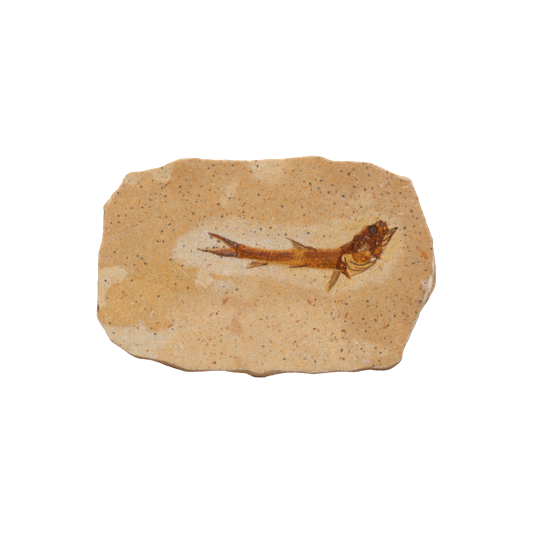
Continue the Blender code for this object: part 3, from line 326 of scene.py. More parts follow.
# Rust marks, scratches and other streaks: colour, amount, half width, two ends.
STREAKS = [
    (RUST, 0.85, 0.24, (-22.7, 0.1), (-21.2, 0.8)), (RUST, 0.75, 0.5, (-16.4, -14.2), (-14.9, -12.4)),
    (RUST, 0.75, 0.36, (-21.7, -19.1), (-20.5, -17.9)), (RUST, 0.7, 0.22, (-32.2, -13), (-31.4, -14.4)),
    (RUST, 0.9, 0.4, (30.1, -19.7), (30.7, -17.9)), (RUST, 0.7, 0.6, (15.9, -13), (16.7, -14.3)),
    (RUST, 0.65, 0.4, (11.5, -21.3), (12.5, -20.8)), (RUST, 0.45, 0.5, (41, -8.9), (42.4, -8.4)),
    (RUST, 0.7, 0.42, (-37.3, -23.3), (-35.8, -22.3)), (RUST, 0.5, 0.5, (-38.1, 31.6), (-36.8, 32.6)),
    (RUST, 0.6, 0.34, (-6.4, -26.8), (-5.3, -28.1)), (ORANGE_RUST, 0.9, 0.8, (59.8, 5.2), (61.1, 3)),
    (RUST, 0.5, 0.4, (57.7, 7.3), (58.3, 6.8)), (RUST, 0.45, 0.4, (53, 15.3), (53.1, 14.3)),
    (RUST, 0.7, 0.46, (44.8, -23.5), (45.4, -23.3)), (SPECK_RED, 0.75, 0.55, (28.8, -24.8), (29.5, -24.6)),
    (RUST, 0.6, 0.34, (29.8, -25.3), (30.1, -26.1)), (RUST, 0.6, 0.28, (-10.8, -17.8), (-10, -18.8)),
    (RUST, 0.5, 0.4, (-4.7, -14.4), (-3.8, -15.4)), (RUST, 0.45, 0.36, (-14, -3.9), (-13.2, -4.4)),
    (RUST, 0.6, 0.28, (-2.3, -5.9), (-1.4, -5.9)), (RUST, 0.45, 0.34, (14.5, -3.5), (15, -3.9)),
    (RUST, 0.4, 0.3, (20, -9), (22, -9.5)), (RUST, 0.55, 0.5, (33.8, 26.3), (34.1, 25.5)),
    (RUST, 0.5, 0.4, (40.6, 28.2), (41.4, 28)), (RUST, 0.5, 0.4, (41.3, 26.9), (41.6, 26.2)),
    (RUST, 0.5, 0.4, (42.6, 30.9), (43.4, 30.7)), (RUST, 0.45, 0.4, (45, 28.8), (46.2, 28.2)),
    (RUST, 0.5, 0.3, (52.4, -30), (53.4, -30.9)), (RUST, 0.5, 0.35, (-29.6, 31.2), (-29.2, 30.8)),
    (RUST, 0.45, 0.4, (-19.2, 36), (-18.3, 35.6)), (RUST, 0.45, 0.3, (-23.3, 25.2), (-22.7, 25.9)),
    (RUST, 0.5, 0.3, (-18.2, 21.6), (-17.7, 22.1)), (RUST, 0.4, 0.5, (-54.6, -10.9), (-53.4, -11.1)),
    (RUST, 0.4, 0.5, (-55.6, -12.4), (-54.8, -11.8)), (RUST, 0.4, 0.34, (-57, -6.9), (-56, -6.7)),
    (UMBER, 0.5, 0.26, (34.9, 16.9), (36.9, 18.1)), (UMBER, 0.4, 0.2, (2.2, -24.6), (6.2, -21.2)),
    (UMBER, 0.95, 0.42, (-64.15, -15), (-64.25, -17.2)), (UMBER, 0.7, 0.24, (-62.1, 21.6), (-61.9, 19.8)),
    (LEDGE_WHITE, 0.7, 0.42, (63.8, 3), (63.7, -2.4)), (LEDGE_WHITE, 0.85, 0.75, (62.8, -4), (62.3, -8.6)),
    (LEDGE_WHITE, 0.7, 0.55, (61.4, -9.4), (60.2, -13)),
    (CREAM_EDGE_AND_HIGHLIGHT, 0.85, 0.34, (59.8, -14.2), (58.6, -17.2)),
    (CREAM_EDGE_AND_HIGHLIGHT, 0.6, 0.3, (58.2, -18), (57.2, -20.8)), (CREAM_EDGE_AND_HIGHLIGHT, 0.5, 0.3, (56.8, -22), (55.8, -24.6)),
    # The two cream streaks at the top right corner: chipped stone along the rim, partly a painted highlight.
    (RUST, 0.75, 0.5, (61.9, -12.2), (60.7, -15)), (CREAM_EDGE_AND_HIGHLIGHT, 0.85, 0.7, (50.4, 34.9), (54.4, 33.6)),
    (CREAM_EDGE_AND_HIGHLIGHT, 0.8, 0.4, (55, 33.2), (55.7, 31.6)), (UMBER, 0.5, 0.2, (64.4, -2), (64.2, -6.4)),
    (UMBER, 0.5, 0.2, (61.4, -10.6), (60.6, -12.6)), (CHALK, 0.6, 0.16, (-33, -1.1), (-29.4, -4.2)),
    (CHALK, 0.75, 0.24, (-33, -29.5), (-31.6, -31.8)), (CHALK, 0.5, 0.2, (25, -14.8), (27.2, -18)),
    (CHALK, 0.7, 0.28, (33.2, -27.8), (34.8, -30)), (CHALK, 0.6, 0.24, (50, 20), (52.6, 20.4)),
    (CHALK, 0.6, 0.26, (52.2, 30.3), (54.6, 31)), (CHALK, 0.4, 0.14, (4.6, 38), (8.8, 33.6)),
    (CHALK, 0.45, 0.18, (11.8, 31.4), (15.2, 27.2)), (CHALK, 0.5, 0.3, (-42, 24.9), (-41.8, 25.6)),
    (CHALK, 0.45, 0.22, (-20.4, -2.6), (-14.2, -3.5)), (CHALK, 0.5, 0.4, (-44, -18.4), (-43.2, -17)),
    (CHALK, 0.4, 0.5, (-54.6, -27.2), (-53.2, -27)), (CHALK, 0.4, 0.5, (-47.4, -26.8), (-46.4, -27)),
    (CHALK, 0.4, 0.3, (-14.9, -1.6), (-13, -2.4)), (CHALK, 0.45, 0.3, (10.2, -34.6), (11, -33.2)),
    (CHALK, 0.35, 0.3, (29, -20.4), (30.2, -22.2)), (CHALK, 0.4, 0.3, (50.4, -22.4), (51.6, -21.8)),
]

# Outlines of the fish: their union is its plan.
TRUNK = [
    (-10.6, 8.7), (-8, 8), (-5, 7.4), (0, 6.7), (5, 6.4), (8, 6.5), (9.5, 7.1), (12.5, 7.2), (19, 6.9),
    (22, 6.5), (26, 6.9), (28, 7.5), (31, 8.8), (33, 4), (30.5, -1.6), (28.5, -1.9), (25, -1.6),
    (22.5, -1.6), (20, -1.1), (15, -0.9), (9, -0.7), (4, 0), (0, 0.9), (-3, 2), (-6, 2.6), (-10.3, 3),
]
HEAD = [
    (28, 7.5), (29.5, 8.2), (31.7, 9.2), (32.5, 9.8), (33.1, 11.5), (33.8, 12.3), (34.5, 12.5),
    (35.1, 12.1), (36.1, 12.9), (35.8, 13.8), (36.4, 14.3), (37.1, 14.4), (38.2, 15.5), (40.5, 15.9),
    (42, 16.9), (43.7, 17.9), (44.9, 17.3), (45.8, 17.9), (46.1, 16), (46.8, 14.2), (47.3, 13.9),
    (48, 14.7), (49.4, 15.2), (50.2, 15.2), (50.1, 14.6), (49.2, 13.5), (48.1, 11.8), (46.8, 9.4),
    (45.9, 7.5), (44.8, 5.8), (43.6, 3.7), (42.1, 2.2), (41.3, 1), (39.4, -0.4), (37.2, -1.7), (34.5, -2.9),
    (32.2, -3.8), (31, -2.4), (29.5, -1), (28.5, 1),
]
UPPER_TAIL = [
    (-10.2, 8.6), (-11.5, 9.1), (-13, 9.7), (-15, 10.5), (-17, 11.4), (-18.5, 12), (-20.3, 12.5),
    (-21.8, 13.1), (-22.4, 12.7), (-21.4, 11.9), (-19.8, 11.1), (-18.2, 10.4), (-17, 9.7), (-15.8, 8.8),
    (-14.9, 8), (-14.1, 7.3), (-12.5, 6), (-10.2, 5.4),
]
LOWER_TAIL = [
    (-10.2, 6.6), (-12.5, 6.9), (-14.1, 7.3), (-15.6, 7.4), (-17.5, 7.1), (-20, 6.8), (-23, 6.8),
    (-25, 6.5), (-26.4, 6.9), (-27, 6.5), (-25.6, 6), (-24, 5.6), (-22, 5.3), (-20.3, 4.8), (-18.5, 4.3),
    (-16.5, 3.9), (-14, 3.6), (-12, 3.2), (-10.2, 3),
]
BACK_FIN = [
    (7, 11.3), (8.1, 11.1), (9.1, 10.5), (10.3, 9.9), (11.5, 9.4), (13, 8.9), (14, 8.2), (14.6, 7.9),
    (16, 7.9), (17.3, 7.6), (18.4, 7.1), (19.1, 6.4), (15, 5.4), (10.9, 6.2), (10.1, 8), (9.3, 9.4),
    (8.1, 10.4),
]
BELLY_FIN = [
    (-8.2, -0.6), (-6.6, 0.4), (-6, 1.3), (-4.2, 1.8), (-2.4, 2.1), (0.6, 1.6), (1.6, 0.7), (-0.2, 0.5),
    (-1.8, 0.1), (-4, -0.4), (-6, -0.8), (-7.9, -1),
]
BREAST_FIN = [
    (25.3, -1.4), (24.9, -2.8), (24.3, -4.8), (23.3, -6.4), (22.4, -7.6), (22.3, -8.7), (22.9, -10.4),
    (23.8, -10.3), (24.1, -9.2), (25.5, -7.2), (27.1, -5.1), (28.1, -3.6), (28.7, -1.7), (27.5, -0.9),
]
SPLINTER = [
    (28.4, -1.2), (30.2, -1.3), (31.2, -2.6), (31.9, -3.7), (32.4, -4.9), (31.7, -4.9), (30.7, -4),
    (29.6, -2.9), (28.6, -2.3),
]
FISH_OUTLINES = [TRUNK, HEAD, UPPER_TAIL, LOWER_TAIL, BACK_FIN, BELLY_FIN, BREAST_FIN, SPLINTER]

SKULL_PLAN = [
    (28.4, 7.2), (29.6, 8), (31.7, 8.9), (32.6, 9.7), (33.3, 11.2), (34, 11.9), (34.6, 12.1), (35.3, 11.8),
    (36.2, 12.6), (36, 13.4), (36.7, 13.9), (37.3, 14), (38.4, 15), (40.5, 15.7), (42, 16.7), (43.7, 17.7),
    (44.9, 17.1), (45.7, 17.5), (45.9, 16), (46.5, 14.3), (47.2, 13.6), (46, 12.6), (45.2, 11.6),
    (44.4, 10), (44.2, 8.4), (44.4, 7.4), (43.9, 5.6), (43.4, 3.9), (42.2, 2.6), (41, 3.2), (40.2, 4.2),
    (39.4, 5.4), (37.6, 5.6), (35.4, 5.1), (33.2, 4.9), (31, 4.6), (29.2, 4.7), (28.7, 5.8),
]

# Areas of the fish, drawn in this order: colour, amount, width of the soft border, gloss, outline.
FISH_AREAS = [
    (AMBER_PALE, 0.6, 1.1, 0.3, TRUNK),
    (AMBER, 0.8, 0.8, 0.6, [
        (-10.4, 8.5), (-8, 7.7), (-5, 7), (0, 6.4), (5, 6.1), (9.5, 6.6), (12.5, 6.9), (19, 6.7), (26, 6.6),
        (28, 7.2), (30.4, 7.4), (31, 4), (29, -1.2), (24, -1), (20, -0.5), (15, -0.2), (9, 0.4), (5, 1.1),
        (1, 1.6), (-3, 2.4), (-10.3, 3.1)]),
    (ORANGE_BROWN, 0.85, 0.9, 0.9, [
        (-10.4, 8.2), (-8, 7.2), (-5, 6.3), (0, 5.6), (5, 5.4), (8.6, 5.6), (10.8, 5.3), (9.8, 4.4),
        (10.4, 3), (7, 2.2), (2, 2.1), (-3, 2.6), (-6, 2.9), (-10.3, 3.3)]),
    (ORANGE_BROWN, 0.75, 1.2, 0.9, [
        (14.4, 5.8), (16, 6.4), (22, 5.9), (27, 6.1), (29.6, 6.8), (30, 4.6), (28.2, 2), (28.4, -0.6),
        (25.6, -0.2), (22.6, 1.2), (19, 1.5), (15, 2), (14.2, 4.2)]),
    (AMBER_DEEP, 0.6, 1.2, 0.8, [(14.4, 2.2), (19, 1.6), (24, 0.6), (27.6, -0.4), (20, -0.7), (15, -0.2)]),
    (AMBER, 0.7, 1.4, 0.6, [(18.6, -0.9), (20.6, 2.4), (24.4, 3.6), (27.2, 2.8), (26.8, -0.6), (23, -1.2)]),
    (ORANGE_BROWN, 0.35, 1.6, 0.7, [(15, 0.4), (19, 2), (25, 3), (28, 1.6), (27.4, -0.8), (18, -0.6)]),
    (WEB_BROWN, 0.9, 0.35, 0.4, [
        (8.4, 10.6), (9.6, 10.2), (11.4, 9.5), (13, 8.8), (14.4, 7.9), (17, 7.6), (18.8, 6.8), (17, 6.4),
        (14.8, 6.8), (12.4, 6.8), (10.2, 7.4), (9.8, 8.3), (9.1, 9.5)]),
    (AMBER, 0.6, 0.8, 0.5, [(9.6, 7.4), (13, 6.8), (17, 6.8), (17.4, 5.8), (11.6, 5.8)]),
    (AMBER_PALE, 0.75, 0.6, 0.3, BREAST_FIN),
    (LINE_BROWN, 0.5, 0.5, 0.4, [
        (27.6, -1.2), (28.2, -2.6), (27, -5), (25.4, -7), (23.9, -9), (23.6, -7.4), (25, -4.8),
        (25.6, -2.2)]),
    (AMBER_PALE, 0.7, 0.6, 0.3, [
        (-7.4, 1.2), (-6.2, 2), (-2.4, 2.4), (1.6, 1.6), (1.8, 0.6), (-1.8, 0.1), (-5, -0.5), (-8, -0.9)]),
    (LINE_BROWN, 0.75, 0.5, 0.4, [
        (-5.6, 1.3), (-3.4, 1.9), (0.8, 1.5), (0.4, 0.9), (-2, 0.5), (-4.6, 0), (-6.6, -0.4), (-5.4, 0.5)]),
    (TAIL_BROWN, 0.9, 0.4, 0.6, UPPER_TAIL),
    (AMBER_PALE, 0.6, 0.5, 0.3, [
        (-14.2, 7.3), (-15.6, 7.4), (-17.5, 7.2), (-21, 7.1), (-25, 7), (-27.4, 6.8), (-25, 6.4),
        (-20, 6.3), (-16, 6.4)]),
    (TAIL_BROWN, 0.9, 0.4, 0.6, [
        (-10.2, 6.6), (-12.5, 6.8), (-15, 6.9), (-17.8, 6.5), (-20.4, 6.1), (-22.5, 6.4), (-24.6, 6.3),
        (-25.4, 6.1), (-22.5, 5.5), (-20.4, 4.9), (-18.1, 4.2), (-14.8, 3.7), (-12.3, 3.4), (-10.2, 3.1)]),
    (AMBER_PALE, 0.5, 0.4, 0.4, [
        (-15.2, 8), (-16.4, 9.2), (-18.2, 10.2), (-20.2, 11.3), (-18, 10.8), (-15.4, 9)]),
    (ORANGE_BROWN, 0.8, 0.6, 0.9, [
        (-10, 8.6), (-11.4, 8.7), (-12.2, 7.4), (-14, 7.2), (-12.6, 6.2), (-11.6, 4.6), (-10.4, 3.6),
        (-8, 3.4), (-8, 7.6)]),
    (BARE_AMBER, 0.92, 0.5, 0.35, [
        (29.2, 5), (31, 5.6), (32.8, 5.2), (33.2, 3.2), (34.5, 2), (38.5, 1.6), (40.4, 2.4), (42.2, 2.6),
        (41.3, 1), (39.4, -0.3), (37.2, -1.6), (34.5, -2.6), (32.4, -3.2), (31.2, -1.8), (30, 0.5),
        (28.8, 2.5), (28.6, 4)]),
    (BARE_AMBER, 0.85, 0.4, 0.35, [
        (44, 7.6), (45.4, 7.4), (46.6, 9.6), (48, 12), (49.4, 14.2), (48, 14.2), (46.4, 13.4), (45, 11.4),
        (43.8, 9.6)]),
    (AMBER_DEEP, 0.7, 0.5, 0.5, [
        (28, 7.5), (29.5, 8.4), (32.6, 10), (33.2, 11.7), (34.4, 12.7), (36, 13.4), (36.4, 14.6),
        (38, 15.8), (39.4, 16), (39, 13), (33, 6)]),
    (SKULL, 0.97, 0.3, 0.9, SKULL_PLAN),
    (RED_BROWN, 0.6, 1.2, 0.9, [
        (37.6, 12.4), (39, 10.6), (42, 9.4), (43, 11.4), (45.4, 13), (44, 13.6), (42.6, 12), (40, 11.6)]),
    (ORANGE_BROWN, 0.55, 0.8, 0.8, [
        (35.2, 12.2), (36.4, 13.8), (38.4, 15.2), (39, 14.6), (37.4, 12.4), (34.8, 11.4)]),
    (CHEEK, 0.85, 0.8, 0.8, [
        (34.2, 5), (35, 6.4), (36.6, 7.6), (37.4, 9.2), (38.8, 9.8), (39.8, 8.8), (39.7, 6.8), (39, 5.2),
        (37.2, 4.8)]),
    (LINE_BROWN, 0.75, 0.8, 0.6, [
        (34.4, 5), (35, 6.2), (36.4, 7.6), (38, 8.7), (39.2, 8.2), (39.3, 6.6), (38.6, 5.2), (37, 4.8)]),
    (ORANGE_BROWN, 0.5, 0.8, 0.8, [(28.9, 6.2), (29.8, 7.6), (31.4, 8.2), (31.2, 6.6), (30.2, 5.6)]),
    (AMBER_DEEP, 0.97, 0.55, 0.45, [
        (32.8, 4.9), (34.2, 5.2), (36, 5.1), (37.6, 5.4), (39.2, 5.5), (40, 4.6), (40.1, 3.5), (39.8, 2.4),
        (38.8, 1.7), (36.4, 1.2), (34.8, 1.4), (33.6, 2.4), (33, 3.6)]),
    (ORANGE_BROWN, 0.85, 0.7, 0.6, [
        (36.2, 3.9), (38.4, 3.8), (39.4, 2.9), (38.4, 2.1), (36.6, 2.2), (35.8, 3)]),
    (ORANGE_BROWN, 0.7, 0.5, 0.6, [
        (33, 4.8), (33.7, 4.8), (33.9, 3.2), (35, 1.9), (34.4, 1.6), (33.3, 2.9)]),
    (AMBER, 0.8, 0.5, 0.4, [(37.4, 4.6), (38.4, 5.4), (39.3, 5), (38.9, 4.1), (38, 4)]),
    (AMBER, 0.7, 0.5, 0.4, [(34.4, 4.7), (36.2, 4.8), (36, 4), (34.8, 3.8)]),
    (CHEEK, 0.85, 0.7, 0.6, [
        (33.4, 5.6), (34.6, 4.8), (35.6, 4.2), (36.8, 4), (37.4, 4.6), (37.4, 5.8), (35.4, 6.2)]),
    (AMBER_PALE, 0.65, 0.6, 0.5, [
        (37.3, 4.2), (37.6, 5.3), (38.4, 5.9), (39.6, 5.7), (39.6, 4.6), (38.6, 4)]),
    (AMBER_PALE, 0.75, 0.35, 0.6, [(34.8, 1.7), (35.6, 1.9), (36.9, 1.7), (36.7, 1.2), (35.4, 1.1)]),
    (AMBER_DEEP, 0.9, 0.5, 0.6, [
        (41.7, 16.2), (42.8, 17), (43.6, 16.6), (43.4, 15.6), (44.2, 15), (44.6, 13.8), (43.6, 13.2),
        (42.9, 14), (42.8, 15.2), (42.3, 15.4)]),
    (AMBER, 0.8, 0.4, 0.5, [(42, 16), (42.7, 16.5), (43.1, 16), (42.7, 15.4)]),
    (AMBER, 0.85, 0.4, 0.5, [
        (44.7, 14.4), (44.9, 15.3), (45.6, 15.5), (45.9, 14.7), (45.7, 13.9), (45, 13.7)]),
    (AMBER_DEEP, 0.85, 0.3, 0.9, [(42.2, 12.1), (42.9, 13.2), (43.5, 13.1), (43.1, 12.3)]),
    (AMBER_DEEP, 0.97, 0.25, 0.5, [
        (40.9, 5.2), (41.5, 6), (42.3, 6.9), (43.2, 7.6), (44.1, 7.7), (44.4, 7.1), (43.7, 6), (42.6, 5),
        (41.6, 4.5), (40.9, 4.6)]),
    (ORANGE_BROWN, 0.7, 0.35, 1, [(42.6, 6.8), (43.3, 7.2), (43.7, 6.8), (43.2, 6.2), (42.7, 6.3)]),
    (DARK, 0.8, 0.4, 0.9, [(39.6, 6.6), (40.4, 7.4), (41.4, 7.2), (41, 6.2), (40.2, 5.2), (39.8, 5.6)]),
    (AMBER_DEEP, 0.85, 0.3, 0.9, [(42.2, 3.6), (42.8, 4.4), (43.5, 4.6), (43.6, 3.9), (42.9, 3.1)]),
    (SKULL, 0.95, 0.3, 0.9, [
        (27.1, 2), (27.4, 3.6), (28.5, 5.3), (29.5, 5.6), (29.2, 4.4), (28.5, 2.8), (29.3, 1.7),
        (30.2, 0.8), (30.6, -0.8), (30.8, -2), (30, -2.3), (28.6, -1.7), (27.2, -0.9), (26.2, 0),
        (26.1, 1)]),
    (AMBER_DEEP, 0.85, 0.35, 1, [
        (28.3, 0.6), (28.9, 1), (29.4, 0.4), (29, -0.9), (28.5, -1.3), (28.1, -0.4)]),
    (ORANGE_BROWN, 0.85, 0.35, 1, [(28.7, -1.3), (29.6, -1), (30.3, -1.9), (29.4, -2.3), (28.8, -2)]),
    (AMBER_DEEP, 0.75, 0.4, 0.8, [(24.4, 0.6), (26.2, 1.4), (26.6, 0.2), (25.4, -0.4)]),
    (ORANGE_BROWN, 0.95, 0.25, 1, SPLINTER),
    (AMBER_DEEP, 0.8, 0.3, 1, [(31, -2.9), (31.7, -3.4), (32.3, -4.8), (31.7, -4.8), (31.2, -4)]),
    (PALE_SPOT_AND_HIGHLIGHT, 0.9, 0.25, 0.4, [(28.9, 3.4), (29.5, 3.6), (29.6, 2.7), (29.1, 2.5)]),
]

